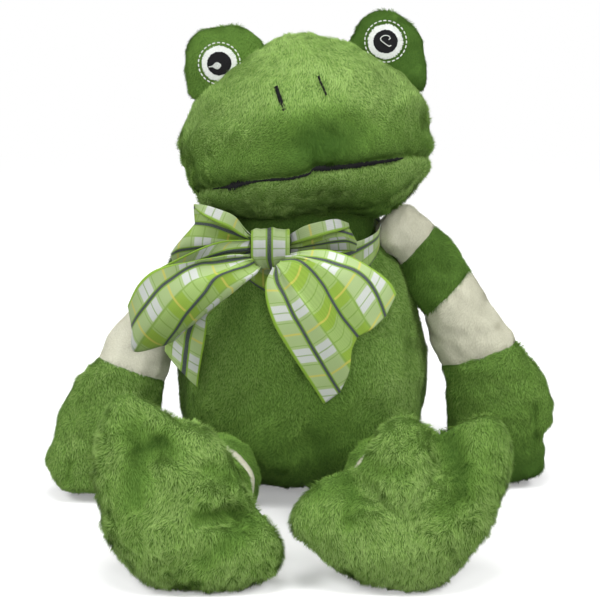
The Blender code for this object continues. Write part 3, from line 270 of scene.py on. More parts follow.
# The bow's pieces as lengthwise runs, by their place across the ribbon from one edge, 0, to the other, 1.
# A run is x, y, z after x, y, z from the knot's middle, in hundredths of the ribbon's width.
BOW_RUNS = {
    "ribbon_loop_left": {
        0: (-24, -10, -4, -45, -17, -1, -69, -24, -3, -92, -29, -6, -117, -31, -10, -137, -31, -18, -153,
            -28, -35, -164, -20, -59, -165, -12, -65, -156, -4, -46, -137, -4, -27, -106, -10, -8, -76,
            -13, 7, -53, -14, 14, -24, -10, 14),
        0.18: (-23, -11, -6, -45, -15, -8, -65, -19, -10, -80, -22, -10, -96, -27, -15, -112, -31, -25,
            -127, -34, -36, -143, -34, -56, -154, -30, -72, -161, -20, -87, -160, -10, -90, -145, -3, -68,
            -121, -3, -41, -86, -6, -15, -53, -11, 0, -24, -7, 3),
        0.34: (-21, -12, -8, -37, -17, -13, -53, -24, -18, -71, -29, -23, -90, -33, -28, -108, -37, -43,
            -125, -38, -63, -139, -36, -83, -151, -30, -102, -159, -20, -118, -156, -10, -115, -137, -3,
            -90, -110, 0, -58, -76, 1, -26, -49, 1, -9, -24, 2, 0),
        0.5: (-18, -12, -11, -28, -20, -14, -45, -28, -17, -63, -34, -24, -75, -37, -40, -86, -38, -53,
            -98, -37, -68, -110, -33, -88, -120, -27, -103, -124, -18, -112, -120, -8, -107, -104, -2,
            -86, -86, 0, -60, -65, 1, -35, -45, 2, -16, -24, 2, -3),
        0.75: (-13, -11, -17, -17, -18, -23, -26, -24, -29, -45, -28, -44, -61, -28, -57, -76, -26, -70,
            -88, -24, -82, -100, -20, -93, -109, -15, -103, -113, -9, -109, -108, -3, -106, -96, 0, -93,
            -80, 2, -75, -59, 2, -53, -41, 2, -29, -22, 2, -7),
        1: (-15, -7, -18, -21, -11, -22, -32, -14, -28, -47, -16, -41, -62, -16, -55, -76, -15, -68, -87,
            -13, -79, -98, -10, -90, -106, -7, -99, -109, -4, -103, -106, 0, -101, -94, 3, -88, -78, 4,
            -70, -59, 4, -49, -41, 4, -27, -22, 3, -10),
    },
    "ribbon_tail_right": {
        0: (4, -14, -18, -4, -20, -30, -6, -24, -44, -3, -28, -62, 6, -31, -86, 21, -33, -112, 37, -34,
            -138, 51, -34, -160, 62, -33, -179),
        0.18: (5, -16, -17, 8, -24, -33, 18, -31, -50, 27, -35, -69, 37, -37, -86, 49, -38, -108, 60, -38,
            -127, 71, -38, -146, 81, -37, -163),
        0.34: (7, -17, -14, 18, -28, -26, 30, -35, -41, 41, -39, -56, 52, -41, -72, 63, -42, -88, 73, -42,
            -103, 83, -42, -119, 92, -41, -133),
        0.42: (10, -16, -13, 22, -27, -21, 35, -34, -34, 47, -38, -48, 59, -41, -62, 69, -42, -76, 79, -42,
            -89, 88, -42, -100, 95, -41, -107),
        0.5: (12, -15, -8, 30, -25, -5, 45, -34, -13, 60, -40, -30, 68, -42, -44, 75, -43, -56, 83, -43,
            -69, 93, -43, -82, 101, -42, -93),
        0.66: (17, -15, -6, 37, -27, -3, 56, -36, -8, 72, -41, -18, 85, -43, -31, 96, -44, -46, 104, -44,
            -60, 111, -43, -73, 118, -42, -83),
        0.82: (20, -13, -4, 43, -24, -3, 62, -31, -4, 78, -35, -8, 97, -37, -14, 111, -37, -25, 121, -36,
            -40, 128, -35, -56, 133, -33, -71),
        1: (22, -9, -3, 43, -14, 3, 64, -18, 5, 80, -21, 2, 97, -23, -4, 113, -24, -13, 127, -23, -23, 139,
            -21, -35, 146, -18, -49),
    },
    "ribbon_back_loop_left": {
        0: (-23, 2, -3, -45, -2, -2, -69, -4, -5, -90, -4, -11, -106, -3, -15, -114, 1, -18, -110, 5, -17,
            -86, 6, -13, -53, 7, -5, -23, 9, -1),
        0.25: (-23, 0, 4, -45, -6, 9, -67, -10, 11, -88, -11, 10, -104, -8, 7, -112, -1, 0, -106, 5, 3,
            -82, 7, 5, -53, 8, 7, -23, 10, 4),
        0.5: (-23, -1, 13, -35, -6, 19, -51, -10, 26, -67, -11, 32, -80, -8, 33, -87, -1, 31, -80, 5, 28,
            -65, 8, 25, -45, 9, 18, -23, 11, 10),
        0.8: (-23, 0, 14, -34, -5, 26, -45, -9, 39, -59, -10, 46, -76, -7, 50, -88, -1, 49, -80, 5, 47,
            -61, 8, 41, -43, 9, 31, -24, 11, 12),
        0.9: (-23, 1, 17, -31, -5, 29, -41, -10, 43, -56, -12, 50, -75, -8, 55, -88, 1, 54, -79, 6, 51,
            -60, 9, 44, -42, 10, 33, -24, 12, 13),
        1: (-23, -2, 12, -36, -11, 21, -49, -17, 31, -63, -18, 38, -78, -13, 45, -87, 0, 50, -78, 5, 47,
            -59, 8, 40, -42, 9, 30, -24, 11, 12),
    },
    "ribbon_back_loop_right": {
        0: (23, 2, -5, 39, -2, -3, 56, -4, -1, 72, -4, -1, 88, -2, -1, 99, 2, -3, 91, 6, -3, 70, 7, -2, 47,
            7, -2, 23, 8, -4),
        0.25: (23, 0, 2, 39, -6, 6, 56, -9, 11, 72, -9, 15, 88, -5, 15, 100, 1, 8, 91, 7, 10, 70, 9, 11,
            47, 9, 7, 23, 9, 1),
        0.5: (24, -1, 7, 34, -7, 12, 45, -10, 17, 60, -10, 23, 76, -7, 25, 95, -1, 18, 86, 6, 21, 68, 8,
            21, 47, 9, 15, 24, 9, 6),
        0.8: (24, 0, 12, 35, -5, 21, 45, -7, 26, 58, -7, 30, 74, -4, 32, 91, 0, 25, 82, 5, 27, 64, 8, 27,
            45, 9, 22, 24, 10, 11),
        0.9: (24, 0, 16, 35, -7, 26, 46, -10, 32, 60, -11, 36, 76, -8, 38, 90, 1, 31, 81, 6, 32, 63, 9, 30,
            45, 10, 25, 24, 11, 14),
        1: (24, -4, 7, 37, -12, 13, 50, -17, 18, 64, -18, 23, 79, -14, 26, 91, -1, 27, 81, 5, 28, 63, 8,
            26, 45, 9, 22, 24, 10, 12),
    },
    "ribbon_tail_left": {
        0: (-23, 6, -34, -45, 13, -56, -63, 19, -75, -75, 22, -89, -76, 24, -103, -79, 24, -124, -83, 25,
            -146, -86, 25, -164, -88, 25, -179),
        0.115: (-25, 6, -31, -49, 12, -54, -69, 17, -75, -84, 20, -91, -88, 22, -106, -92, 23, -124, -94,
            23, -141, -96, 24, -157, -97, 24, -170),
        0.23: (-27, 7, -28, -53, 13, -52, -76, 18, -75, -96, 21, -93, -103, 23, -109, -105, 24, -122, -107,
            24, -134, -108, 25, -145, -110, 25, -156),
        0.345: (-29, 7, -24, -57, 14, -48, -82, 20, -71, -104, 24, -92, -112, 26, -108, -115, 27, -119,
            -117, 27, -127, -118, 27, -137, -119, 27, -145),
        0.46: (-32, 8, -21, -61, 16, -44, -87, 22, -68, -110, 26, -91, -120, 28, -106, -122, 29, -115,
            -124, 29, -122, -125, 29, -128, -126, 29, -134),
        0.52: (-30, 13, -20, -59, 21, -43, -85, 27, -67, -108, 31, -90, -118, 33, -105, -120, 34, -114,
            -122, 34, -121, -123, 34, -127, -124, 34, -133),
        0.76: (-27, 14, -24, -53, 20, -48, -76, 25, -71, -96, 28, -89, -103, 30, -105, -105, 31, -118,
            -107, 31, -130, -108, 32, -141, -110, 32, -152),
        1: (-26, 14, -28, -48, 21, -50, -66, 27, -69, -78, 30, -83, -79, 32, -97, -82, 32, -118, -86, 33,
            -140, -89, 33, -158, -91, 33, -173),
    },
}

# Stage, in metres: the lamps by place, size and power in watts, and the camera
FLOOR_REACH = 4.0
LIGHT_AIM = (0, -0.02, 0.1)
LAMPS = (
    ("top_lamp", (0, -0.3, 1.6), 0.7, 10), ("left_lamp", (-1.0, -0.45, 1.1), 0.6, 12.5),
    ("right_lamp", (1.0, -0.45, 1.1), 0.6, 13), ("front_lamp", (0, -1.4, 0.7), 0.9, 10.5),
)
CAMERA_PLACE = (-1 * MM, -1121.7 * MM, 450.7 * MM)
CAMERA_PITCH = math.radians(72)
SENSOR_MM = 36
LENS_MM = 153


def rgb(red, green, blue):
    """A colour as a screen shows it, out of 255, in the linear values that a shader takes."""
    values = []
    for value in (red, green, blue):
        value /= 255
        values.append(value / 12.92 if value <= 0.04045 else ((value + 0.055) / 1.055) ** 2.4)
    return (*values, 1.0)


# Curves and grids of points

def spread(points, count, closed=False):
    """A smooth curve through points along the first axis, at count even steps of its parameter."""
    points = np.asarray(points, float)
    total = len(points)
    if closed:
        at = np.arange(count) * total / count
        low = np.floor(at).astype(int)
        near = [(low + k) % total for k in (-1, 0, 1, 2)]
    else:
        at = np.linspace(0, total - 1, count)
        low = np.minimum(np.floor(at).astype(int), total - 2)
        near = [np.clip(low + k, 0, total - 1) for k in (-1, 0, 1, 2)]
    part = (at - low).reshape(-1, *[1] * (points.ndim - 1))
    a, b, c, d = (points[k] for k in near)
    return 0.5 * (
        2 * b + (c - a) * part + (2 * a - 5 * b + 4 * c - d) * part ** 2 + (3 * b - a - 3 * c + d) * part ** 3
    )


def run_length(points):
    """The length of a run up to each of its points, along the first axis."""
    steps = np.linalg.norm(np.diff(points, axis=0), axis=-1)
    return np.concatenate((np.zeros((1, *steps.shape[1:])), np.cumsum(steps, axis=0)))


def even_run(points, count):
    """The same curve at count places an even distance apart."""
    fine = spread(points, len(points) * 24)
    length = run_length(fine)
    at = np.linspace(0, length[-1], count)
    return np.stack([np.interp(at, length, fine[:, k]) for k in range(fine.shape[1])], axis=-1)


def follow(table, at):
    """The value at a place of a smooth curve through (place, value) rows."""
    rows = np.asarray(table, float)
    if rows[0, 0] > rows[-1, 0]:
        rows = rows[::-1]
    fine = spread(rows, len(rows) * 16)
    return np.interp(at, fine[:, 0], fine[:, 1])


def round_grid(grid, rows, sides):
    """A closed grid of rings made finer both ways."""
    finer = spread(grid, rows)
    return np.swapaxes(spread(np.swapaxes(finer, 0, 1), sides, closed=True), 0, 1)


def unit(vectors):
    return vectors / np.maximum(np.linalg.norm(vectors, axis=-1, keepdims=True), TINY)


def is_point(ring):
    """Whether a ring has shrunk to one point."""
    return np.ptp(ring, axis=0).max() < POINT_SIZE


def grid_normals(grid):
    """Outward normals of a grid of rings whose first and last ring may be a pole."""
    around = np.roll(grid, -1, axis=1) - np.roll(grid, 1, axis=1)
    normals = unit(np.cross(around, np.gradient(grid, axis=0)))
    for end, near in ((0, 1), (-1, -2)):
        if is_point(grid[end]):
            normals[end] = unit(normals[near].mean(axis=0))
    centre = grid.mean(axis=1, keepdims=True)
    return -normals if np.sum((grid - centre) * normals) < 0 else normals


def ripple(points, wavelength, seed, waves=14):
    """A smooth random field about zero, its hills and hollows about a wavelength apart."""
    dice = np.random.default_rng(seed)
    total = np.zeros(points.shape[:-1])
    for _ in range(waves):
        way = dice.normal(size=3)
        way *= 2 * math.pi / (wavelength * dice.uniform(0.75, 1.5) * np.linalg.norm(way))
        total += np.sin(points @ way + dice.uniform(0, 2 * math.pi))
    return total * math.sqrt(2 / waves)


def ripples(points, wavelength, seed):
    """Three such fields, one for each axis."""
    return np.stack([ripple(points, wavelength, seed + k) for k in range(3)], axis=-1)


def lumps(points, *waves):
    """The unevenness of soft stuffing, from waves of (height, wavelength, seed) in millimetres."""
    return sum(height * MM * ripple(points, length * MM, seed) for height, length, seed in waves)


def bump(distance, width):
    """1 at no distance, and 0 well beyond the width."""
    return np.exp(-(distance / width) ** 2)


def eased(value, low, high):
    """0 below low, 1 above high and smooth between them."""
    part = np.clip((value - low) / (high - low), 0, 1)
    return part * part * (3 - 2 * part)


def placed(matrix, points):
    """Points moved from a piece's own axes to the toy's."""
    array = np.array(matrix)
    return points @ array[:3, :3].T + array[:3, 3]


def mirrored(side, place):
    """A place that is given for the right side, on either side."""
    return side * place[0], place[1], place[2]


def ring_angles(sides):
    """Even angles round a ring."""
    return np.arange(sides) * 2 * math.pi / sides


# Meshes

def show(name, data):
    """A new object of the scene."""
    made = bpy.data.objects.new(name, data)
    bpy.context.scene.collection.objects.link(made)
    return made


def map_corners(mesh, title, coords):
    """A map over a mesh, from one pair for each corner of its faces."""
    mesh.uv_layers.new(name=title).data.foreach_set("uv", np.asarray(coords, np.float32).ravel())


def read(rows, field, per, kind=np.float32):
    """One field of a mesh's rows, with so many numbers for each."""
    values = np.empty(len(rows) * per, kind)
    rows.foreach_get(field, values)
    return values.reshape(-1, per)


def put(mesh, name, kind, values):
    """Stores one value or vector for each point of a mesh."""
    layer = mesh.attributes.new(name, kind, "POINT")
    field = "vector" if kind == "FLOAT_VECTOR" else "value"
    layer.data.foreach_set(field, np.asarray(values, np.float32).ravel())


def drop(mesh, *names):
    """Removes stored values that have done their work."""
    for name in names:
        if name in mesh.attributes:
            mesh.attributes.remove(mesh.attributes[name])


def ring_mesh(name, grid):
    """A closed mesh over a grid of rings. Its ends close on a point, which is the end ring's middle."""
    rows, sides = grid.shape[:2]
    points = np.concatenate([grid.reshape(-1, 3), [grid[0].mean(axis=0), grid[-1].mean(axis=0)]])
    first = 1 if is_point(grid[0]) else 0
    last = rows - 2 if is_point(grid[-1]) else rows - 1
    faces = []
    coords = []
    step_u, step_v = 1 / sides, 1 / (rows + 1)
    for i in range(first, last):
        for j in range(sides):
            k = (j + 1) % sides
            faces.append((i * sides + j, i * sides + k, (i + 1) * sides + k, (i + 1) * sides + j))
            u, v = j * step_u, (i + 1) * step_v
            coords += [(u, v), (u + step_u, v), (u + step_u, v + step_v), (u, v + step_v)]
    for row, tip, turn in ((first, rows * sides, -1), (last, rows * sides + 1, 1)):
        for j in range(sides):
            pair = (row * sides + j, row * sides + (j + 1) % sides)
            u, v = j * step_u, (row + 1) * step_v
            ends = [(u, v), (u + step_u, v)]
            if turn < 0:
                pair, ends = pair[::-1], ends[::-1]
            faces.append((*pair, tip))
            coords += [*ends, (u + step_u / 2, v + turn * step_v)]
    return solid_mesh(name, points, faces, coords)


def solid_mesh(name, points, faces, coords):
    """A smooth mesh of its faces, outward, without points that no face uses. coords is its map for baking."""
    used = np.zeros(len(points), bool)
    used[[k for face in faces for k in face]] = True
    place = np.cumsum(used) - 1
    kept = points[used]
    faces = [tuple(int(place[k]) for k in face) for face in faces]
    a, b, c = (kept[[face[k] for face in faces]] for k in range(3))
    if np.sum(np.cross(b - a, c - a) * ((a + b + c) / 3 - kept.mean(axis=0))) < 0:
        turned = []
        start = 0
        for face in faces:
            turned += coords[start:start + len(face)][::-1]
            start += len(face)
        faces, coords = [face[::-1] for face in faces], turned
    mesh = bpy.data.meshes.new(name)
    mesh.from_pydata([tuple(p) for p in kept.tolist()], [], faces)
    mesh.shade_smooth()
    map_corners(mesh, BAKE_MAP, coords)
    return show(name, mesh), used


def sheet_mesh(name, rows, thick, coords):
    """A closed thin sheet over an open grid of points. coords holds the weave's own coordinates."""
    count, across = rows.shape[:2]
    normal = unit(np.cross(np.gradient(rows, axis=0), np.gradient(rows, axis=1)))
    points = np.concatenate([(rows + way * normal * thick / 2).reshape(-1, 3) for way in (1, -1)])
    faces, bake, weave = [], [], []

    def add_face(corners):
        faces.append(tuple(side * count * across + a * across + b for a, b, side in corners))
        for a, b, side in corners:
            bake.append((0.5 * side + 0.48 * b / (across - 1) + 0.01, 0.02 + 0.94 * a / (count - 1)))
            weave.append(coords[a][b])

    for side in (0, 1):
        for i in range(count - 1):
            for j in range(across - 1):
                corners = [(i, j, side), (i + 1, j, side), (i + 1, j + 1, side), (i, j + 1, side)]
                add_face(corners[::-1] if side else corners)
    rim = [(i, 0) for i in range(count)] + [(count - 1, j) for j in range(1, across)]
    rim += [(i, across - 1) for i in range(count - 2, -1, -1)] + [(0, j) for j in range(across - 2, 0, -1)]
    for near, far in zip(rim, rim[1:] + rim[:1]):
        add_face([(*near, 0), (*near, 1), (*far, 1), (*far, 0)])
    mesh = bpy.data.meshes.new(name)
    mesh.from_pydata([tuple(p) for p in points.tolist()], [], faces)
    mesh.shade_smooth()
    map_corners(mesh, BAKE_MAP, bake)
    map_corners(mesh, WEAVE_MAP, weave)
    return show(name, mesh)


# Trees of nodes

def feed(tree, socket, value):
    """Gives a socket a plain value or what another node puts out."""
    if isinstance(value, bpy.types.NodeSocket):
        tree.links.new(value, socket)
    else:
        socket.default_value = value


def node(tree, kind, inputs=(), **settings):
    """A node with its settings and inputs. The inputs go by name or number, or are a row in their order."""
    made = tree.nodes.new(kind)
    for name, value in settings.items():
        setattr(made, name, value)
    for place, value in inputs.items() if isinstance(inputs, dict) else enumerate(inputs):
        feed(tree, made.inputs[place], value)
    return made


def new_group(name, kind, inputs, outputs):
    """An empty tree that other trees or pieces use, with what is given to it and what it puts out."""
    tree = bpy.data.node_groups.new(name, kind)
    for way, sockets in (("INPUT", inputs), ("OUTPUT", outputs)):
        for title, sort in sockets.items():
            tree.interface.new_socket(title, in_out=way, socket_type="NodeSocket" + sort)
    return tree, node(tree, "NodeGroupInput").outputs, node(tree, "NodeGroupOutput").inputs


def number_math(tree, operation, *values):
    return node(tree, "ShaderNodeMath", values, operation=operation).outputs[0]


def plus(tree, first, *others):
    for value in others:
        first = number_math(tree, "ADD", first, value)
    return first


def times(tree, first, second):
    return number_math(tree, "MULTIPLY", first, second)


def vector_math(tree, operation, *values):
    made = node(tree, "ShaderNodeVectorMath", values, operation=operation)
    return made.outputs["Value" if operation == "LENGTH" else "Vector"]


def scaled(tree, vector, factor):
    made = node(tree, "ShaderNodeVectorMath", {0: vector, "Scale": factor}, operation="SCALE")
    return made.outputs["Vector"]


def direction(tree, first, second):
    """The direction of two vectors' sum."""
    return vector_math(tree, "NORMALIZE", vector_math(tree, "ADD", first, second))


def attribute(tree, name, kind="FLOAT_VECTOR"):
    made = node(tree, "GeometryNodeInputNamedAttribute", {"Name": name}, data_type=kind)
    return made.outputs["Attribute"]


def random_value(tree, kind, low, high, seed):
    made = node(tree, "FunctionNodeRandomValue", data_type=kind)
    for socket in made.inputs:
        if socket.enabled and socket.name in ("Min", "Max", "Seed"):
            socket.default_value = {"Min": low, "Max": high, "Seed": seed}[socket.name]
    return next(socket for socket in made.outputs if socket.enabled)


def stray_vector(tree, reach, seed):
    return scaled(tree, random_value(tree, "FLOAT_VECTOR", (-1, -1, -1), (1, 1, 1), seed), reach)


def store(tree, geometry, name, kind, value):
    made = node(tree, "GeometryNodeStoreNamedAttribute", {"Name": name, "Geometry": geometry, "Value": value},
                data_type=kind, domain="POINT")
    return made.outputs["Geometry"]


def position(tree):
    """The place of each point, by axis."""
    return node(tree, "ShaderNodeSeparateXYZ", [node(tree, "GeometryNodeInputPosition").outputs[0]]).outputs


def joined(tree, **parts):
    """A vector from its parts by axis."""
    return node(tree, "ShaderNodeCombineXYZ", parts).outputs[0]


# Pile and stitches

def new_laying(name, **given):
    """A tree that lays pieces over a geometry, with what else is given to it."""
    return new_group(name, "GeometryNodeTree", {"Geometry": "Geometry", **given, "Material": "Material"},
                     {"Geometry": "Geometry"})


def lay(tree, points, instance, turn, size, material, output):
    """Ends a tree: one instance at each point, turned and sized there, as a plain mesh in its material."""
    laid = node(tree, "GeometryNodeInstanceOnPoints", {
        "Points": points, "Instance": instance, "Rotation": turn.outputs["Rotation"], "Scale": size,
    })
    real = node(tree, "GeometryNodeRealizeInstances", {"Geometry": laid.outputs["Instances"]})
    painted = node(tree, "GeometryNodeSetMaterial", {
        "Geometry": real.outputs["Geometry"], "Material": material,
    })
    feed(tree, output["Geometry"], painted.outputs["Geometry"])
    return tree


def make_pile_tree():
    """Strands of pile over a backing: one narrow face each, along the backing's nap attribute."""
    tree, given, output = new_laying("plush_pile", Density="Float", Width="Float", Scatter="Float",
                                     Ruffle="Float", Seed="Int")
    sown = node(tree, "GeometryNodeDistributePointsOnFaces", {
        "Mesh": given["Geometry"], "Seed": given["Seed"],
        "Density": times(tree, given["Density"], attribute(tree, "thick", "FLOAT")),
    }, distribute_method="RANDOM")
    nap = attribute(tree, "nap")
    way = direction(tree, vector_math(tree, "NORMALIZE", nap), stray_vector(tree, given["Scatter"], 3))
    turn = node(tree, "FunctionNodeAxesToRotation", {
        "Primary Axis": way,
        "Secondary Axis": vector_math(tree, "CROSS_PRODUCT", sown.outputs["Normal"], way),
    }, primary_axis="Z", secondary_axis="X")
    facing = direction(tree, attribute(tree, "facing"), stray_vector(tree, given["Ruffle"], 8))
    points = store(tree, sown.outputs["Points"], "up", "FLOAT_VECTOR", facing)
    points = store(tree, points, "tint", "FLOAT", random_value(tree, "FLOAT", 0.0, 1.0, 5))
    flat = node(tree, "GeometryNodeMeshCircle", {"Vertices": 3, "Radius": 2 / 3}, fill_type="NGON")
    place = position(tree)
    upright = node(tree, "GeometryNodeSetPosition", {
        "Geometry": flat.outputs["Mesh"],
        "Position": joined(tree, X=place["Y"], Z=plus(tree, place["X"], 1 / 3)),
    })
    strand = store(tree, upright.outputs["Geometry"], "along", "FLOAT", position(tree)["Z"])
    length = times(tree, vector_math(tree, "LENGTH", nap), random_value(tree, "FLOAT", *STRAND_LENGTHS, 11))
    size = joined(tree, X=given["Width"], Y=1.0, Z=length)
    return lay(tree, points, strand, turn, size, given["Material"], output)


def make_stitch_tree():
    """Threads laid over points: each along its run attribute, arched along its rise attribute."""
    tree, given, output = new_laying("stitches", Arch="Float")
    arc = node(tree, "GeometryNodeCurveQuadraticBezier", {
        "Resolution": 5, "Start": (0, 0, -0.5), "Middle": (0, 0, 0), "End": (0, 0, 0.5),
    })
    section = node(tree, "GeometryNodeCurvePrimitiveCircle", {"Resolution": 5, "Radius": 0.5}, mode="RADIUS")
    thread = node(tree, "GeometryNodeCurveToMesh", {
        "Curve": arc.outputs["Curve"], "Profile Curve": section.outputs["Curve"], "Fill Caps": True,
    })
    along = position(tree)["Z"]
    rise = times(tree, number_math(tree, "SUBTRACT", 0.25, times(tree, along, along)), 2.0)
    arched = node(tree, "GeometryNodeSetPosition", {
        "Geometry": thread.outputs["Mesh"], "Offset": joined(tree, Y=times(tree, rise, given["Arch"])),
    })
    points = node(tree, "GeometryNodeMeshToPoints", {"Mesh": given["Geometry"]})
    run = attribute(tree, "run")
    turn = node(tree, "FunctionNodeAxesToRotation", {
        "Primary Axis": run, "Secondary Axis": attribute(tree, "rise"),
    }, primary_axis="Z", secondary_axis="Y")
    width = attribute(tree, "width", "FLOAT")
    size = joined(tree, X=width, Y=width, Z=vector_math(tree, "LENGTH", run))
    places, thread = points.outputs["Points"], arched.outputs["Geometry"]
    return lay(tree, places, thread, turn, size, given["Material"], output)


def grown(base, name, tree, settings):
    """The plain mesh that a tree makes from a base, as an object of its own."""
    modifier = base.modifiers.new(name, "NODES")
    modifier.node_group = tree
    for item in tree.interface.items_tree:
        if item.item_type == "SOCKET" and item.in_out == "INPUT" and item.name in settings:
            modifier[item.identifier] = settings[item.name]
    graph = bpy.context.evaluated_depsgraph_get()
    mesh = bpy.data.meshes.new_from_object(base.evaluated_get(graph))
    mesh.name = name
    base.modifiers.remove(modifier)
    return show(name, mesh)


def grow_pile(base, name, material, seed, density=1.0, scatter=0.24, ruffle=0.24, width=PILE_WIDTH):
    """The pile of one backing, each strand shaded as the surface that it stands on."""
    share = 1.0
    piece = grown(base, name, PILE_TREE, {
        "Density": PILE_DENSITY * density * share, "Width": width / math.sqrt(share), "Scatter": scatter,
        "Ruffle": ruffle, "Seed": seed, "Material": material,
    })
    mesh = piece.data
    mesh.shade_smooth()
    normals = read(mesh.attributes["up"].data, "vector", 3)
    roots = read(mesh.attributes[BAKE_MAP].data, "vector", 2)
    drop(mesh, "up", BAKE_MAP, "nap", "facing", "thick")
    corner = read(mesh.loops, "vertex_index", 1, np.int32).ravel()
    spot = np.array(((0.0, 0.0), (STRAND_SPOT, 0.0), (0.0, STRAND_SPOT)), np.float32)
    map_corners(mesh, BAKE_MAP, np.clip(roots[corner].reshape(-1, 3, 2) + spot, 0.0, 1.0))
    mesh.normals_split_custom_set_from_vertices(normals.tolist())
    return piece


def lay_stitches(name, stitches, material, arch=1.2):
    """Threads from a list of (start, end, rise, width)."""
    starts, ends, rises, widths = (np.array(column, float) for column in zip(*stitches))
    mesh = bpy.data.meshes.new(name + "_places")
    mesh.from_pydata([tuple(p) for p in ((starts + ends) / 2).tolist()], [], [])
    put(mesh, "run", "FLOAT_VECTOR", ends - starts)
    put(mesh, "rise", "FLOAT_VECTOR", rises)
    put(mesh, "width", "FLOAT", widths)
    base = show(name + "_places", mesh)
    piece = grown(base, name, STITCH_TREE, {"Arch": arch, "Material": material})
    bpy.data.objects.remove(base, do_unlink=True)
    mesh = piece.data
    drop(mesh, "run", "rise", "width")
    mesh.shade_smooth()
    total = len(stitches)
    corner = read(mesh.loops, "vertex_index", 1, np.int32).ravel()[:len(mesh.loops) // total]
    own = (corner - corner.min()) / max(1, np.ptp(corner))
    spot = np.stack([own, (own * 5) % 1.0], axis=-1)
    sides = math.ceil(math.sqrt(total))
    map_corners(mesh, BAKE_MAP, np.concatenate([
        (np.array((k % sides, k // sides)) + 0.1 + 0.8 * spot) / sides for k in range(total)
    ]))
    return piece


# Materials

def noise(tree, vector, scale, detail=2.0, rough=0.5):
    made = node(tree, "ShaderNodeTexNoise", {
        "Scale": scale, "Detail": detail, "Roughness": rough, "Vector": vector,
    })
    return made.outputs["Fac"]


def mixed(tree, factor, first, second, mode="MIX"):
    made = node(tree, "ShaderNodeMix", data_type="RGBA", blend_type=mode)
    for place, value in zip((0, 6, 7), (factor, first, second)):
        feed(tree, made.inputs[place], value)
    return made.outputs[2]


def ranged(tree, value, low, high, start=0.0, end=1.0):
    """A value that goes smoothly from start to end as another goes from low to high."""
    made = node(tree, "ShaderNodeMapRange", {
        "From Min": low, "From Max": high, "To Min": start, "To Max": end, "Value": value,
    }, interpolation_type="SMOOTHSTEP")
    return made.outputs["Result"]


def shader_attribute(tree, name):
    return node(tree, "ShaderNodeAttribute", attribute_name=name).outputs["Fac"]


def own_place(tree):
    return node(tree, "ShaderNodeTexCoord").outputs["Object"]


def make_nap_group():
    """How light the pile looks where it has been pressed one way or the other: 0 dark, 1 light."""
    given, output = {"Vector": "Vector"}, {"Light": "Float"}
    group, given, output = new_group("crushed_nap", "ShaderNodeTree", given, output)
    patches = []
    for scale, detail, rough, low, high, share in NAP_PATCHES:
        patch = ranged(group, noise(group, given["Vector"], scale, detail, rough), low, high)
        patches.append(times(group, patch, share))
    feed(group, output["Light"], plus(group, *patches))
    return group


def nap_light(tree):
    return node(tree, "ShaderNodeGroup", {"Vector": own_place(tree)}, node_tree=NAP_GROUP).outputs["Light"]


def new_material(name, looks):
    """A material, its tree of nodes and the inputs of its shader, with the looks that are plain values."""
    material = bpy.data.materials.new(name)
    material.use_nodes = True
    tree = material.node_tree
    shader = tree.nodes["Principled BSDF"].inputs
    for title, value in looks.items():
        shader[title].default_value = value
    return material, tree, shader


def pile_material(name, root, low, middle, high):
    """Pile: painted shade at the root, and lighter or darker by strand, by crushed nap and by the painted
    light.
    """
    material, tree, shader = new_material(name, {
        "Roughness": 0.85, "Specular IOR Level": 0.15, "Sheen Weight": 0.3, "Sheen Roughness": 0.45,
        "Sheen Tint": rgb(*middle), "Transmission Weight": 0.02,
    })
    tint = times(tree, shader_attribute(tree, "tint"), 0.36)
    blend = plus(tree, times(tree, nap_light(tree), 0.2), tint, 0.46)
    # Times the piece's painted light: darker where it lies in shade, lighter where it is lit.
    blend = times(tree, blend, shader_attribute(tree, "painted_light"))
    colour = mixed(tree, ranged(tree, blend, 0.0, 0.6), rgb(*low), rgb(*middle))
    colour = mixed(tree, ranged(tree, blend, 0.45, 0.95), colour, rgb(*high))
    # The root colour is painted shade: the strands' roots are darker, as the pile shades them.
    rise = ranged(tree, shader_attribute(tree, "along"), 0.0, 0.7)
    feed(tree, shader["Base Color"], mixed(tree, rise, rgb(*root), colour))
    shape = node(tree, "ShaderNodeNewGeometry").outputs
    side = number_math(tree, "SUBTRACT", 1.0, times(tree, shape["Backfacing"], 2.0))
    feed(tree, shader["Normal"], scaled(tree, shape["Normal"], side))
    return material


def backing_material(name, low, high):
    """The knitted backing that the pile stands on, dark because the pile shades it."""
    material, tree, shader = new_material(name, {"Roughness": 0.95, "Specular IOR Level": 0.1})
    light = plus(tree, times(tree, nap_light(tree), 0.4), 0.5)
    # Times the piece's painted light and shade.
    light = times(tree, light, shader_attribute(tree, "painted_light"))
    feed(tree, shader["Base Color"], mixed(tree, light, rgb(*low), rgb(*high)))
    return material


def thread_material(name, low, high, sheen, rough=0.45):
    """Embroidery thread: fine light and dark along its filaments."""
    material, tree, shader = new_material(name, {
        "Roughness": rough, "Specular IOR Level": 0.12, "Sheen Weight": sheen,
    })
    grain = noise(tree, own_place(tree), THREAD_GRAIN)
    feed(tree, shader["Base Color"], mixed(tree, grain, rgb(*low), rgb(*high)))
    return material


def stripe_mask(tree, value, centre, half, soft=0.008):
    """1 within half of the centre, 0 outside it."""
    away = number_math(tree, "ABSOLUTE", number_math(tree, "SUBTRACT", value, centre))
    return ranged(tree, away, half - soft, half + soft, 1.0, 0.0)


def either(tree, first, second):
    return number_math(tree, "MAXIMUM", first, second)


def folded_about(tree, value):
    """How far a share of the ribbon's width or of a check lies from its middle."""
    return number_math(tree, "ABSOLUTE", number_math(tree, "SUBTRACT", value, 0.5))


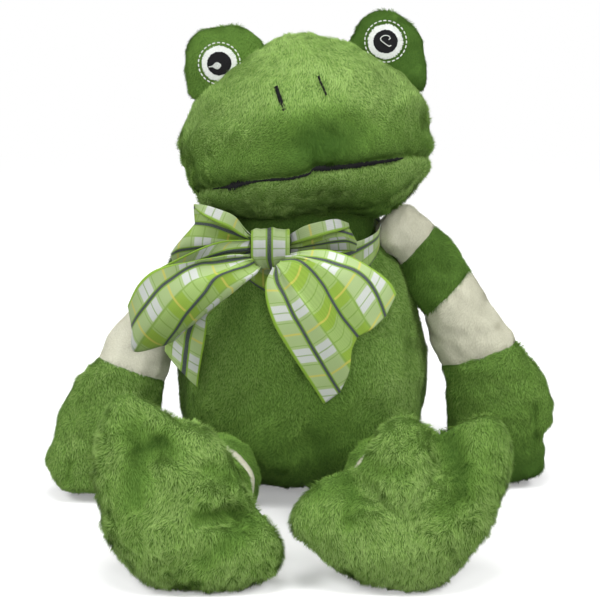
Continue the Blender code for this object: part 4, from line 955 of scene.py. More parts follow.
def ribbon_material():
    """Woven plaid: three dark stripes along it between lime and pale checks, thin lines and a bright edge."""
    material, tree, shader = new_material("plaid_ribbon", {
        "Roughness": 0.6, "Specular IOR Level": 0.3, "Sheen Weight": 0.1,
    })
    weave_place = node(tree, "ShaderNodeUVMap", uv_map=WEAVE_MAP).outputs["UV"]
    parts = node(tree, "ShaderNodeSeparateXYZ", [weave_place]).outputs
    along = parts["Y"]
    across = folded_about(tree, parts["X"])
    check = folded_about(tree, number_math(tree, "FRACT", times(tree, along, PLAID_REPEATS)))
    inner = stripe_mask(tree, across, 0.085, 0.062)
    pale = either(tree, stripe_mask(tree, across, 0.225, 0.062), stripe_mask(tree, across, 0.415, 0.062))
    lime_row = stripe_mask(tree, check, 0.0, 0.22, 0.01)
    white_row = stripe_mask(tree, check, 0.5, 0.165, 0.01)
    pale_row = stripe_mask(tree, check, 0.28, 0.5)
    line = either(tree, stripe_mask(tree, check, 0.5, 0.014, 0.006),
                  stripe_mask(tree, check, 0.27, 0.01, 0.006))
    line = either(tree, line, stripe_mask(tree, across, 0.152, 0.007, 0.003))
    gold = stripe_mask(tree, check, 0.0, 0.022, 0.008)
    flank, dark = (either(tree, stripe_mask(tree, across, 0.0, half, 0.004),
                          stripe_mask(tree, across, 0.32, half, 0.004)) for half in (0.036, 0.02))
    speck = ranged(tree, noise(tree, weave_place, 90, 1.0), 0.35, 0.65)
    colour = mixed(tree, lime_row, rgb(150, 178, 100), rgb(142, 172, 84))
    for mask, yarn in (
        (times(tree, inner, lime_row), rgb(138, 170, 58)), (times(tree, pale, pale_row), rgb(158, 180, 122)),
        (times(tree, pale, white_row), rgb(194, 199, 193)), (times(tree, line, 0.7), rgb(120, 153, 60)),
        (times(tree, gold, 0.8), rgb(194, 186, 84)), (flank, rgb(122, 158, 50)),
        (dark, mixed(tree, speck, rgb(48, 56, 54), rgb(76, 86, 84))),
        (stripe_mask(tree, across, 0.5, 0.02, 0.004), rgb(130, 168, 48)),
    ):
        colour = mixed(tree, mask, colour, yarn)
    rib, weft = (number_math(tree, "SINE", times(tree, way, YARN_TURNS)) for way in (along, across))
    weave = plus(tree, times(tree, rib, 0.5), times(tree, weft, 0.4))
    # The weave's relief is painted as light and shade along the yarns, times the piece's painted shade.
    shaded = times(tree, ranged(tree, weave, -0.8, 0.8, 0.9, 1.05), shader_attribute(tree, "painted_light"))
    feed(tree, shader["Base Color"], mixed(tree, 1.0, colour, shaded, "MULTIPLY"))
    relief = node(tree, "ShaderNodeBump", {"Strength": 0.3, "Distance": 0.08 * MM, "Height": weave})
    feed(tree, shader["Normal"], relief.outputs["Normal"])
    return material


# Shapes, each a grid of rings on the toy's axes

def egg(profile, half_width, half_height, front, back, rows, sides):
    """Rings of an egg about its own middle, from a profile of (height share, radius share)."""
    run = even_run([(radius, height) for height, radius in profile], rows)
    angle = ring_angles(sides)
    depth = np.where(np.sin(angle) < 0, front, back)
    share = run[:, 0, None]
    level = run[:, 1, None] * half_height * np.ones(sides)
    grid = np.stack([half_width * share * np.cos(angle), depth * share * np.sin(angle), level], axis=-1)
    for end in (0, -1):
        grid[end] = grid[end].mean(axis=0)
    return grid


def swell(grid, amounts):
    """The grid moved outward by an amount at each point."""
    return grid + grid_normals(grid) * amounts[..., None]


def oval(x, z, middle, reach):
    """A soft spot in the XZ plane: 1 at its middle, given in millimetres, and 0 well outside its reach."""
    return np.exp(-((x / MM - middle[0]) / reach[0]) ** 2 - ((z / MM - middle[1]) / reach[1]) ** 2)


def facing_at(surface, x, z, step):
    """A surface's points at x and z, and its outward normals there."""
    x, z = np.asarray(x, float), np.asarray(z, float)
    across = surface(x + step, z) - surface(x - step, z)
    return surface(x, z), unit(np.cross(across, surface(x, z + step) - surface(x, z - step)))


def head_matrix():
    turn = Matrix.Rotation(HEAD_PITCH, 4, "X") @ Matrix.Rotation(HEAD_ROLL, 4, "Y")
    return Matrix.Translation(NECK_PIVOT) @ turn @ Matrix.Translation(HEAD_PLACE)


def mouth_line(x):
    """The height of the mouth seam at x on the head's own axes."""
    run = np.array(MOUTH_RUN) * MM
    return np.interp(x, run[:, 0], run[:, 1])


def muzzle_fall(z):
    """How far the face falls back below the nostrils."""
    return MUZZLE_FALL * eased(6 * MM - z, 0, 30 * MM)


def head_grid(rows, sides):
    """The head on its own axes: lips puffed over and under the mouth seam, and soft uneven stuffing."""
    grid = egg(HEAD_PROFILE, HEAD_HALF_WIDTH, HEAD_HALF_HEIGHT, HEAD_FRONT, HEAD_BACK, rows, sides)
    x, y, z = (grid[..., k] for k in range(3))
    above = z - mouth_line(x)
    front = np.clip(-y / HEAD_FRONT * 2.2 + 0.5, 0.12, 1.0)
    lips = sum(height * MM * bump(above - middle * MM, width * MM) for height, middle, width in LIPS)
    stuffing = lumps(grid, (0.5, 30, 21), (0.22, 9, 22))
    for height, middle, reach in HEAD_LUMPS:
        stuffing += height * MM * oval(x, z, middle, reach)
    grid = swell(grid, lips * front + stuffing - BACKING_INSET)
    grid[..., 1] += muzzle_fall(z) * (y < 0)
    return grid


def head_front(x, z):
    """The head's front surface at x and z on its own axes, and the outward normal there."""

    def surface(px, pz):
        share = follow(HEAD_PROFILE[1:-1], pz / HEAD_HALF_HEIGHT)
        reach = 1 - (px / (HEAD_HALF_WIDTH * share)) ** 2
        y = muzzle_fall(pz) - HEAD_FRONT * share * np.sqrt(np.maximum(reach, 0.0))
        return np.stack([px, y, pz], axis=-1)

    return facing_at(surface, x, z, 0.5 * MM)


def body_grid(rows, sides):
    """The body: a seam down the belly, a fuller shoulder and a front that draws in at its foot."""
    grid = egg(BODY_PROFILE, BODY_HALF_WIDTH, BODY_HEIGHT, BODY_FRONT, BODY_BACK, rows, sides)
    x, y, z = (grid[..., k] for k in range(3))
    seam = -BELLY_SEAM_DEPTH * bump(x - BELLY_SEAM_X, 1.6 * MM) * (y < 0)
    stuffing = lumps(grid, (0.6, 32, 31), (0.25, 10, 32)) * np.clip(z / (10 * MM), 0, 1)
    shoulder = BODY_SHOULDER * bump(z - BODY_SHOULDER_Z, 13 * MM) * np.clip(x / (30 * MM), 0, 1)
    grid = swell(grid, seam + shoulder + stuffing - BACKING_INSET)
    low = np.clip(1 - z / (26 * MM), 0, 1)
    grid[..., 1] *= np.where(y < 0, 1 - BODY_FOOT_TUCK * low * low, 1.0)
    return grid


def round_ring(middle, along, radius, sides):
    """A circle of points about a middle, square to a direction."""
    across = np.cross((0.0, 0.0, 1.0), along)
    across /= np.linalg.norm(across)
    up = np.cross(along, across)
    angle = ring_angles(sides)[:, None]
    return middle + (across * np.cos(angle) + up * np.sin(angle)) * radius


def root_rings(along, radius, sides, degrees):
    """The rings of a round end, each so many degrees from its tip."""
    return [
        round_ring(-along * radius * math.cos(angle), along, radius * math.sin(angle), sides)
        for angle in np.radians(degrees)
    ]


def point_ring(place, sides):
    """A ring whose points are all at one place."""
    return np.repeat(np.array(place)[None], sides, axis=0)


def matched(ring, other):
    """The ring's points started and turned so that they lie nearest to another ring's."""
    sides = len(ring)
    orders = [(start + step * np.arange(sides)) % sides for step in (1, -1) for start in range(sides)]
    return ring[min(orders, key=lambda order: np.sum((ring[order] - other) ** 2))]


def thumb_crease(side, grid):
    """The crease that parts the thumb from the hand: 1 in its middle."""
    across, bottom, top = THUMB_CREASES[side]
    level = grid[..., 2]
    ends = np.clip((level - bottom) / (4 * MM), 0, 1) * np.clip((top - level) / (4 * MM), 0, 1)
    return ends * bump(side * grid[..., 0] - across, 1.5 * MM)


def arm_grid(side, rows, sides):
    """One arm from its round root to its finger tips, on the toy's axes."""
    along = np.array((math.cos(SHOULDER_TILT), 0.0, -math.sin(SHOULDER_TILT)))
    angle = ring_angles(LIMB_SIDES)[:, None]
    rings = []
    for outer_x, outer_z, inner_x, inner_z, depth in ARM_EDGES[side]:
        outer = np.array((outer_x, 0.0, outer_z)) * MM
        middle = (outer + np.array((inner_x, 0.0, inner_z)) * MM) / 2
        rings.append(middle + (outer - middle) * np.cos(angle) + np.array((0, depth * MM, 0)) * np.sin(angle))
    roots = [matched(ring, rings[0]) for ring in root_rings(along, SHOULDER_RADIUS, LIMB_SIDES, (28, 55, 80))]
    pole = point_ring(-along * SHOULDER_RADIUS, LIMB_SIDES)
    tip = point_ring(np.array((ARM_TIPS[side][0], 0.0, ARM_TIPS[side][1])) * MM, LIMB_SIDES)
    grid = round_grid(np.array([pole, *roots, *rings, tip]), rows, sides)
    if side == LEFT:
        grid[..., 0] *= -1
    place = Matrix.Translation(mirrored(side, SHOULDER))
    grid = placed(place @ Matrix.Rotation(-ARM_SWINGS[side], 4, "X"), grid)
    if side == LEFT:
        grid[..., 0] += LEFT_SHOULDER_TUCK * eased(grid[..., 2] - 78 * MM, 0, 24 * MM)
    grid[..., 1] -= HAND_REACH * np.clip((90 * MM - grid[..., 2]) / (80 * MM), 0, 1)
    front = grid[..., 1] < np.median(grid[..., 1], axis=1)[:, None]
    grid[..., 1] += THUMB_CREASE_DEPTH * front * thumb_crease(side, grid)
    return grid


def leg_grid(side, rows, sides):
    """One leg from its round root to its round end inside the foot, on the toy's axes."""
    hip, ankle = (np.array(mirrored(side, place)) for place in (HIP, ANKLE))
    length = np.linalg.norm(ankle - hip)
    along = (ankle - hip) / length
    rings = root_rings(along, HIP_RADIUS, LIMB_SIDES, (28, 54, 78))
    for share, radius in LEG_SECTIONS:
        rings.append(round_ring(along * length * share, along, radius, LIMB_SIDES))
    for ring in root_rings(-along, ANKLE_RADIUS, LIMB_SIDES, (88, 62, 34)):
        rings.append(matched(ring + along * length, rings[-1]))
    pole = point_ring(-along * HIP_RADIUS, LIMB_SIDES)
    tip = point_ring(along * (length + ANKLE_RADIUS), LIMB_SIDES)
    return round_grid(np.array([pole, *rings, tip]), rows, sides) + hip


def foot_hollows(side, grid):
    """The hollows that the toes' webs press into the sole: 1 in their middle."""
    x, z = grid[..., 0] / MM, grid[..., 2] / MM
    deep = np.zeros(x.shape)
    for ax, az, bx, bz, reach, strength in FOOT_HOLLOWS[side]:
        dx, dz = bx - ax, bz - az
        along = np.clip(((x - ax) * dx + (z - az) * dz) / (dx * dx + dz * dz), 0, 1)
        away = (x - ax - along * dx) ** 2 + (z - az - along * dz) ** 2
        deep = np.maximum(deep, strength * np.exp(-away / reach ** 2))
    return deep


def foot_matrix(side, grid):
    """The foot's place: leant back against the ankle and pressed on the floor by its lowest point."""
    tilt = Matrix.Rotation(FOOT_LEAN, 3, "X")
    lowest = (grid @ np.array(tilt).T)[..., 2].min()
    ankle = Vector(mirrored(side, ANKLE))
    back = tilt @ Vector((0.0, -(FOOT_SEAT + FOOT_HALF_DEPTH), 0.0))
    slide = tilt @ Vector((0.0, 0.0, 1.0))
    place = ankle + back + slide * (-FLOOR_CUT - lowest - ankle.z - back.z) / slide.z
    place.x = HEEL_X[side]
    return Matrix.Translation(place) @ tilt.to_4x4()


def foot_grid(side, rows, sides):
    """One webbed foot as a pillow in its outline, creased along its webs, on the toy's axes."""
    angle = np.arange(sides) * 360 / sides - 180
    outline = follow(TOE_OUTLINES[side], angle) * FOOT_REACH
    web = np.max([bump(angle - place, 9.0) for place in WEB_ANGLES[side]], axis=0)
    share = np.sin(np.linspace(0, math.pi, rows)) ** 0.9
    share[0] = share[-1] = 0.0
    face = np.where(np.arange(rows) < rows / 2, 1.0, -1.0)
    turn = np.radians(angle)
    bulge = np.sqrt(np.maximum(1 - share ** 2.6, 0.0))
    sink = 1 - WEB_SINK * web[None] * np.clip((share[:, None] - 0.25) / 0.5, 0, 1)
    depth = FOOT_HALF_DEPTH * (face * bulge)[:, None] * sink
    reach = outline[None] * share[:, None]
    grid = np.stack([reach * np.sin(turn), depth, reach * np.cos(turn)], axis=-1)
    grid = placed(foot_matrix(side, grid), grid)
    stuffing = lumps(grid, (0.4, 24, 51 + side), (0.15, 9, 53 + side))
    stuffing *= np.clip((1 - share) * 3, 0, 1)[:, None]
    hollow = HOLLOW_DEPTH * foot_hollows(side, grid) * (face < 0)[:, None]
    grid = swell(grid, stuffing - hollow - BACKING_INSET)
    grid[..., 2] = np.maximum(grid[..., 2], FLOOR_GAP)
    return grid


def pouch_grid(side, rows, sides):
    """One eye pouch on the head's own axes, facing forward."""
    angle = ring_angles(sides)
    turn = np.linspace(0, math.pi, rows)
    share = np.sin(turn) ** POUCH_ROUNDNESS
    share[0] = share[-1] = 0.0
    depth = np.cos(turn) * POUCH_HALF_DEPTH
    outline = follow(POUCH_OUTLINE_SHARES[side], np.degrees(angle))
    reach = (POUCH_RADIUS - 0.3 * MM) * share[:, None] * outline
    grid = np.stack([reach * np.cos(angle), depth[:, None] * np.ones(sides), reach * np.sin(angle)], axis=-1)
    grid = grid + np.array(POUCH_PLACES[side])
    seam = 0.7 * MM * bump(turn - 0.36 * math.pi, 0.07)[:, None]
    return swell(grid, lumps(grid, (0.25, 12, 61 + side)) - seam - BACKING_INSET)


def pouch_front(side, x, z):
    """The pouch's front at x and z on the head's own axes, and the outward normal there."""
    middle = POUCH_PLACES[side]

    def surface(px, pz):
        away = np.clip(np.hypot(px - middle[0], pz - middle[2]) / POUCH_RADIUS, 0, 0.999)
        y = middle[1] - POUCH_HALF_DEPTH * np.sqrt(1 - away ** (2 / POUCH_ROUNDNESS))
        return np.stack([px, y, pz], axis=-1)

    return facing_at(surface, x, z, 0.3 * MM)


def ball_grid(radius, rows, sides):
    turn = np.linspace(0.02, math.pi - 0.02, rows)[:, None]
    angle = ring_angles(sides)
    return radius * np.stack([
        np.sin(turn) * np.cos(angle), np.sin(turn) * np.sin(angle), np.cos(turn) + 0 * angle,
    ], axis=-1)


# The toy's pieces

def flattened(way, normals):
    """What of a vector lies in the surface."""
    return way - normals * np.sum(way * normals, axis=-1, keepdims=True)


def combed(grid, toward, length, seed, stand=0.22, swirl=0.5, clump=0.0):
    """The lay of the pile at each point of a grid, and the way it faces the light."""
    normals = grid_normals(grid)
    field = ripples(grid, 26 * MM, seed) * swirl * 0.6
    field += ripples(grid, 7 * MM, seed + 10) * swirl * 0.5
    way = flattened(unit(np.array(toward, float)) + field, normals)
    if clump:
        way += clump * flattened(ripples(grid, 4.5 * MM, seed + 20), normals)
    nap = normals * stand + way
    nap *= length / np.linalg.norm(nap, axis=-1, keepdims=True)
    nap *= (1 + 0.12 * ripple(grid, 6 * MM, seed + 30))[..., None]
    return nap, unit(normals - way * 0.1)


def plush(name, grid, body, nodes, materials, seed, comb=(0, 0, -1), length=PILE_LENGTH, thick=1.0, painted_light=1.0,
          strands=None, **lie):
    """One stuffed piece: its backing rides a body and stands for solid nodes, and its pile grows from it.

    painted_light is light and shade painted into the colour of the pile and backing: below 1 where the piece
    lies in shade, above 1 where it is lit. strands says how the pile differs from the plain one, and lie how
    it is combed.
    """
    backing, pile = materials
    piece, used = ring_mesh(name, grid)
    piece.data.materials.append(backing)
    nap, facing = combed(grid, comb, length, seed, **lie)
    plain = np.ones(grid.shape[:2])
    for title, kind, values in (
        ("nap", "FLOAT_VECTOR", nap), ("facing", "FLOAT_VECTOR", facing),
        ("thick", "FLOAT", plain * thick), ("painted_light", "FLOAT", plain * painted_light),
    ):
        ends = np.array([values[0].mean(axis=0), values[-1].mean(axis=0)])
        values = np.concatenate([values.reshape(plain.size, -1), ends.reshape(2, -1)])
        put(piece.data, title, kind, values[used])
    hair = grow_pile(piece, name + "_pile", pile, seed, **(strands or {}))
    drop(piece.data, "nap", "facing", "thick")
    for part in (piece, hair):
        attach(part, body)
    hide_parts(*nodes)


def wad(name, node_name, body, place, radius):
    """A round wad of filling inside the toy."""
    piece, _ = ring_mesh(name, ball_grid(radius, *WAD_GRID) + np.array(place))
    piece.data.materials.append(WHITE_FILLING)
    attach(piece, body)
    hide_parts(node_name)


def sew(name, node_name, stitches, material, slot, arch=1.2):
    """Embroidery on the head that stands for one solid node."""
    piece = lay_stitches(name, stitches, material, arch)
    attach(piece, "head")
    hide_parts(node_name)


def head_painted_light(x, z):
    """Painted light and shade on the face: light on the crown and cheeks, and painted shade under the nostrils
    and on the chin, where the face turns down from the light.
    """
    painted_light = 1.0 - 0.3 * np.clip((5 * MM - z) / (25 * MM), 0, 1)
    painted_light -= 0.75 * oval(x, z, (6, -13), (19, 13)) - 0.25 * oval(x, z, (41, 10), (12, 14))
    painted_light = np.where(z < mouth_line(x), 1.0 - 0.5 * oval(x, z, (24, -44), (30, 6)), painted_light)
    return np.clip(painted_light, 0.05, 1.25)


def face_stitch(matrix, x, z, way, lift):
    """One thread on the face, laid both ways from its middle at x and z on the head's own axes."""
    place, normal = head_front(x, z)
    start, end = (placed(matrix, place + turn * way + normal * lift) for turn in (-1, 1))
    return start, end, np.array(matrix.to_3x3()) @ normal, FACE_THREAD_WIDTH


def build_head():
    matrix = head_matrix()
    own = head_grid(*HEAD_GRID)
    x, y, z = (own[..., k] for k in range(3))
    thick = 1 - 0.9 * bump(np.abs(z - mouth_line(x)), 1.3 * MM) * (y < 0)
    for run in (LEFT_NOSTRIL_RUN, RIGHT_NOSTRIL_RUN):
        near = np.min([np.hypot(x - px, z - pz) for px, pz in even_run(run, 20) * MM], axis=0)
        thick *= 1 - 0.9 * bump(near, 0.9 * MM) * (y < 0)
    fan = np.stack([-x / (26 * MM), 0.5 + 0 * x, 0.9 + 0 * x], axis=-1)
    plush("head_plush", placed(matrix, own), "head", ("head_crown_skin", "head_chin_skin", "head_filling"),
          GREEN, 101, comb=fan, thick=thick, swirl=0.45, painted_light=head_painted_light(x, z))
    for side in (LEFT, RIGHT):
        build_eye(side, matrix)
    dice = np.random.default_rng(90)
    mouth = []
    for px, pz in even_run(MOUTH_RUN, 250) * MM:
        half = follow(MOUTH_HALF_WIDTHS, px / MM) * MM * dice.uniform(0.55, 1.2)
        mouth.append(face_stitch(matrix, px, pz, np.array((0.5, 0.0, 0.85)) * half, 0.1 * MM))
    sew("mouth_thread_stitches", "mouth_thread", mouth, BLACK_THREAD, "black_thread")
    for name, run, half, gap in (
        ("nostril_left", LEFT_NOSTRIL_RUN, 0.9 * MM, None), ("nostril_right", RIGHT_NOSTRIL_RUN, 0.5 * MM, 9),
    ):
        nostril = []
        for k, (px, pz) in enumerate(even_run(run, 34) * MM):
            if gap and k % gap == gap - 1:
                continue
            way = np.array((0.95, 0.0, 0.3)) * half * dice.uniform(0.75, 1.1)
            nostril.append(face_stitch(matrix, px, pz, way, 0.7 * MM))
        sew(f"{name}_stitches", name, nostril, BLACK_THREAD, "black_thread")


def glint_lines(side):
    """The glint's stitches from x, z to x, z about the eye's middle, in millimetres."""
    if side == LEFT:
        return [
            (-4.6 + 0.46 * k, -0.9 - height / 2, -4.6 + 0.46 * k, -0.9 + height / 2)
            for k, height in enumerate(LEFT_GLINT_HEIGHTS)
        ]
    loop = even_run(RIGHT_GLINT_RUN, 15)
    return [(*start, *(end * 1.3 - start * 0.3)) for start, end in zip(loop[:-1], loop[1:])]


def build_eye(side, matrix):
    name = SIDE_NAMES[side]
    own = pouch_grid(side, *POUCH_GRID)
    eye_x, eye_z = EYE_PLACES[side]
    away = np.hypot(own[..., 0] - eye_x, own[..., 2] - eye_z)
    front = own[..., 1] < POUCH_PLACES[side][1]
    thick = np.where(front & (away < EYE_WHITE_RADIUS + 0.2 * MM), 0.0, 1.0)
    plush(f"eye_pouch_plush_{name}", placed(matrix, own), "head",
          (f"eye_pouch_{name}", f"eye_filling_{name}"), GREEN, 130 + side, comb=(0, -0.3, -1), thick=thick,
          length=0.8 * PILE_LENGTH, painted_light=POUCH_PAINTED_LIGHT[side])
    turn = np.array(matrix.to_3x3())

    def stitch(x0, z0, x1, z1, lift, width):
        start, normal = pouch_front(side, eye_x + x0, eye_z + z0)
        end, _ = pouch_front(side, eye_x + x1, eye_z + z1)
        rise = normal * lift
        return placed(matrix, start + rise), placed(matrix, end + rise), turn @ normal, width

    white, pupil, ring = [], [], []
    dice = np.random.default_rng(70 + side)
    inner = EYE_PUPIL_RADIUS - 0.5 * MM
    for k in range(EYE_WHITE_STITCHES):
        angle = 2 * math.pi * (k + dice.uniform(-0.25, 0.25)) / EYE_WHITE_STITCHES
        outer = EYE_WHITE_RADIUS + dice.uniform(-0.3, 0.3) * MM
        c, s = math.cos(angle), math.sin(angle)
        white.append(stitch(inner * c, inner * s, outer * c, outer * s, 0.15 * MM, SATIN_WIDTH))
    for k in range(EYE_PUPIL_STITCHES):
        x = EYE_PUPIL_RADIUS * (2 * (k + 0.5) / EYE_PUPIL_STITCHES - 1)
        half = math.sqrt(EYE_PUPIL_RADIUS ** 2 - x * x) + dice.uniform(-0.25, 0.15) * MM
        pupil.append(stitch(x, -half, x, half, 0.35 * MM, SATIN_WIDTH))
    glint = [stitch(*(value * MM for value in line), 0.6 * MM, 0.4 * MM) for line in glint_lines(side)]
    for k in range(RUNNING_STITCHES):
        ends = []
        for part in (0.0, 0.62):
            angle = 2 * math.pi * (k + part) / RUNNING_STITCHES
            ends += [RUNNING_RADIUS * math.cos(angle), RUNNING_RADIUS * math.sin(angle)]
        ring.append(stitch(*ends, 0.9 * MM, 0.55 * MM))
    for part, rows, material, slot in (
        ("white", white, WHITE_THREAD, "white_thread"), ("pupil", pupil, BLACK_THREAD, "black_thread"),
        ("glint", glint, WHITE_THREAD, "white_thread"),
    ):
        sew(f"eye_{part}_stitches_{name}", f"eye_{part}_{name}", rows, material, slot, 0.5)
    piece = lay_stitches(f"eye_running_stitch_{name}", ring, WHITE_THREAD, 0.5)
    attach(piece, "head")


def build_body():
    grid = body_grid(*BODY_GRID)
    x, z = grid[..., 0] / MM, grid[..., 2] / MM
    # Painted light and shade: darker towards the body's foot and in a patch under the head, lighter on its
    # right side.
    painted_light = 0.74 - 0.5 * np.clip(1 - z / 52, 0, 1) + 0.16 * np.clip((x - 20) / 20, 0, 1)
    painted_light -= 0.25 * oval(grid[..., 0], grid[..., 2], (9, 42), (7, 22))
    plush("body_plush", grid, "torso", ("body_skin", "body_filling", "seat_pellet_pouch"),
          GREEN, 201, swirl=0.6, painted_light=painted_light)
    neck = ball_grid(NECK_RADIUS - BACKING_INSET, *NECK_GRID) * NECK_SHARES
    # The neck is painted dark, as shade under the chin.
    plush("neck_plush", np.array(NECK_PIVOT) + neck, "neck", ("neck_wad",), GREEN, 211, swirl=0.6, painted_light=0.4)


def pinched(grid, seams):
    """The grid drawn in at the rows where its bands are sewn together."""
    length = run_length(grid.mean(axis=1))
    amount = np.zeros(len(grid))
    for seam in seams:
        amount -= SEAM_DEPTH * bump(length - length[seam], 2.2 * MM)
    amount[0] = amount[-1] = 0.0
    return swell(grid, amount[:, None] * np.ones(grid.shape[1]))


def limb(name, grid, body, parts, rows, seams, seed):
    """A limb of sewn bands.

    parts are (label, nodes, materials, painted_light), and seams the control rows where they meet.
    painted_light is the band's painted light and shade: one value, or a function that gives it for points.
    """
    at = [round(row / (rows - 1) * (len(grid) - 1)) for row in seams]
    grid = pinched(grid, at[1:-1])
    grid = swell(grid, lumps(grid, (0.4, 20, seed), (0.2, 8, seed + 1)) - BACKING_INSET)
    grid[..., 2] = np.maximum(grid[..., 2], FLOOR_GAP)
    for k, (label, nodes, materials, painted_light) in enumerate(parts):
        stretch = grid[at[k]:at[k + 1] + 1]
        lie = {"length": CREAM_LENGTH, "strands": CREAM_STRANDS} if materials is CREAM else {}
        plush(f"{name}_{label}_plush", stretch, body, nodes, materials, seed + 3 * k,
              painted_light=painted_light(stretch) if callable(painted_light) else painted_light, **lie)


def build_arm(side):
    name = SIDE_NAMES[side]
    arm = f"arm_{name}"

    # Painted shade on the hand: darker low down on the right hand, and in the thumb's crease.
    def hand_painted_light(points):
        low = np.clip(1 - points[..., 2] / (32 * MM), 0, 1)
        painted_light = 0.72 - 0.8 * low if side == RIGHT else 0.86 - 0.15 * low
        return painted_light - 0.35 * thumb_crease(side, points)

    # Each band's painted light, lighter or darker by how light falls on it.
    parts = (
        ("shoulder_band", (f"{arm}_shoulder_band",), CREAM, 0.7),
        ("green_band", (f"{arm}_green_band",), GREEN, 0.38),
        ("cream_band", (f"{arm}_cream_band",), CREAM, 0.5 if side == RIGHT else 1.25),
        ("hand", (f"{arm}_hand", f"{arm}_filling"), GREEN, hand_painted_light),
    )
    limb(arm, arm_grid(side, *ARM_GRID), arm, parts, ARM_ROWS, ARM_SEAM_ROWS, 300 + 20 * side)
    tuck = LEFT_SHOULDER_TUCK if side == LEFT else 0.0
    wad(f"{arm}_shoulder_filling_wad", f"{arm}_shoulder_wad", f"shoulder_{name}",
        (side * SHOULDER[0] + tuck, SHOULDER[1], SHOULDER[2]), SHOULDER_RADIUS - 2.4 * MM)


def build_leg(side):
    name = SIDE_NAMES[side]
    leg = f"leg_{name}"
    # Each band's painted light and shade.
    parts = (
        ("thigh", (f"{leg}_thigh", f"{leg}_filling"), GREEN, 0.62),
        ("cream_band", (f"{leg}_cream_band",), CREAM, 1.0), ("shin", (f"{leg}_shin",), GREEN, 0.7),
    )
    limb(leg, leg_grid(side, *LEG_GRID), leg, parts, LEG_ROWS, LEG_SEAM_ROWS, 400 + 20 * side)
    wad(f"{leg}_hip_filling_wad", f"{leg}_hip_wad", f"hip_{name}", mirrored(side, HIP), HIP_RADIUS - 3 * MM)


def build_foot(side):
    """One foot, painted darker in the hollows of its sole as shade. The right one is painted darker on its
    outer toe, as shade.
    """
    foot = f"foot_{SIDE_NAMES[side]}"
    grid = foot_grid(side, *FOOT_GRID)
    # Painted shade in the sole's hollows and on the right foot's outer toe.
    painted_light = 0.92 - 0.6 * foot_hollows(side, grid)
    if side == RIGHT:
        painted_light -= 0.22 * oval(grid[..., 0], grid[..., 2], (78, 60), (9, 16))
    plush(f"{foot}_plush", grid, foot, (f"{foot}_back", f"{foot}_sole", f"{foot}_filling"), GREEN, 500 + side,
          comb=(0, -0.5, -1), length=FOOT_PILE_LENGTH, painted_light=painted_light, strands={"width": FOOT_PILE_WIDTH},
          clump=0.22, stand=0.5)


# The bow

def knot_place():
    low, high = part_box("ribbon_knot")
    return (np.array(low) + np.array(high)) / 2


def ribbon_sheet(name, rows, node_name, start=0.0, seen=(0, 1), even=False):
    """One stretch of ribbon on the torso, over a grid of points, woven along the grid's first axis.

    The plaid begins start widths along, and the grid is the seen part of the ribbon's width.
    Its colour is painted darker towards the gathers at the knot, and by piece where the bow lies in shade.
    """
    length = run_length(rows)
    if even:
        length = np.repeat(length.mean(axis=1, keepdims=True), rows.shape[1], axis=1)
    across = np.linspace(*seen, rows.shape[1])
    coords = [[(u, float(v)) for u, v in zip(across, row)] for row in length / RIBBON_WIDTH + start]
    piece = sheet_mesh(name, rows, RIBBON_THICK, coords)
    piece.data.materials.append(PLAID)
    # Painted shade: darker near the knot's gathers and on the pieces under the head.
    away = np.linalg.norm(rows - knot_place(), axis=-1).ravel()
    painted_shades = BOW_PAINTED_SHADE.get(node_name, 1.0) * (1 - GATHER_SHADE * bump(away, 14 * MM))
    put(piece.data, "painted_light", "FLOAT", np.tile(painted_shades, 2))
    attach(piece, "torso")
    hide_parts(node_name)


def across_at(places, values, at):
    """Smooth values at places across the ribbon, from values at uneven places along the second axis."""
    slopes = np.gradient(values, places, axis=1)
    k = np.clip(np.searchsorted(places, at, side="right") - 1, 0, len(places) - 2)
    places = np.asarray(places)
    span = (places[k + 1] - places[k])[None, :, None]
    t = (at - places[k])[None, :, None] / span
    near = (2 * t ** 3 - 3 * t ** 2 + 1) * values[:, k] + (t ** 3 - 2 * t ** 2 + t) * span * slopes[:, k]
    return near + (3 * t ** 2 - 2 * t ** 3) * values[:, k + 1] + (t ** 3 - t ** 2) * span * slopes[:, k + 1]


def bow_rows(runs, knot, steps, across):
    """One piece of the bow as a grid, in which each dark stripe keeps its own width."""
    columns = {
        place: even_run(np.reshape(run, (-1, 3)) / 100, steps) * RIBBON_WIDTH for place, run in runs.items()
    }
    places = sorted(columns)
    for k, place in enumerate(places):
        if place not in STRIPE_SHARES:
            continue
        for other in (places[k - 1], places[k + 1]):
            apart = columns[other] - columns[place]
            gap = np.linalg.norm(apart, axis=-1, keepdims=True)
            near = np.minimum(STRIPE_HALF_SHARE * RIBBON_WIDTH, 0.5 * gap)
            edge = place + math.copysign(STRIPE_HALF_SHARE, other - place)
            columns[edge] = columns[place] + apart / np.maximum(gap, 1e-9) * near
    places = sorted(columns)
    values = np.stack([columns[place] for place in places], axis=1)
    return pleated(across_at(places, values, np.linspace(0, 1, across))) + knot


def pleated(rows, folds=3.0):
    """The ribbon where the knot draws it in, thrown into folds that keep some of its width."""
    width = np.linalg.norm(np.diff(rows, axis=1), axis=-1).sum(axis=1)
    steep = np.sqrt(2 * np.maximum((RIBBON_WIDTH / width) ** 2 - 1, 0.0))
    height = np.minimum(width / (2 * math.pi * folds) * steep, PLEAT_HEIGHT)
    height *= np.exp(-(np.linalg.norm(rows.mean(axis=1), axis=-1) / PLEAT_REACH) ** 2 / 2)
    across = np.linspace(0, 1, rows.shape[1])
    wave = np.sin(2 * math.pi * folds * across + 0.6) * np.sin(math.pi * across) ** 0.3
    normal = unit(np.cross(np.gradient(rows, axis=0), np.gradient(rows, axis=1)))
    return rows + normal * (height[:, None] * wave)[..., None]


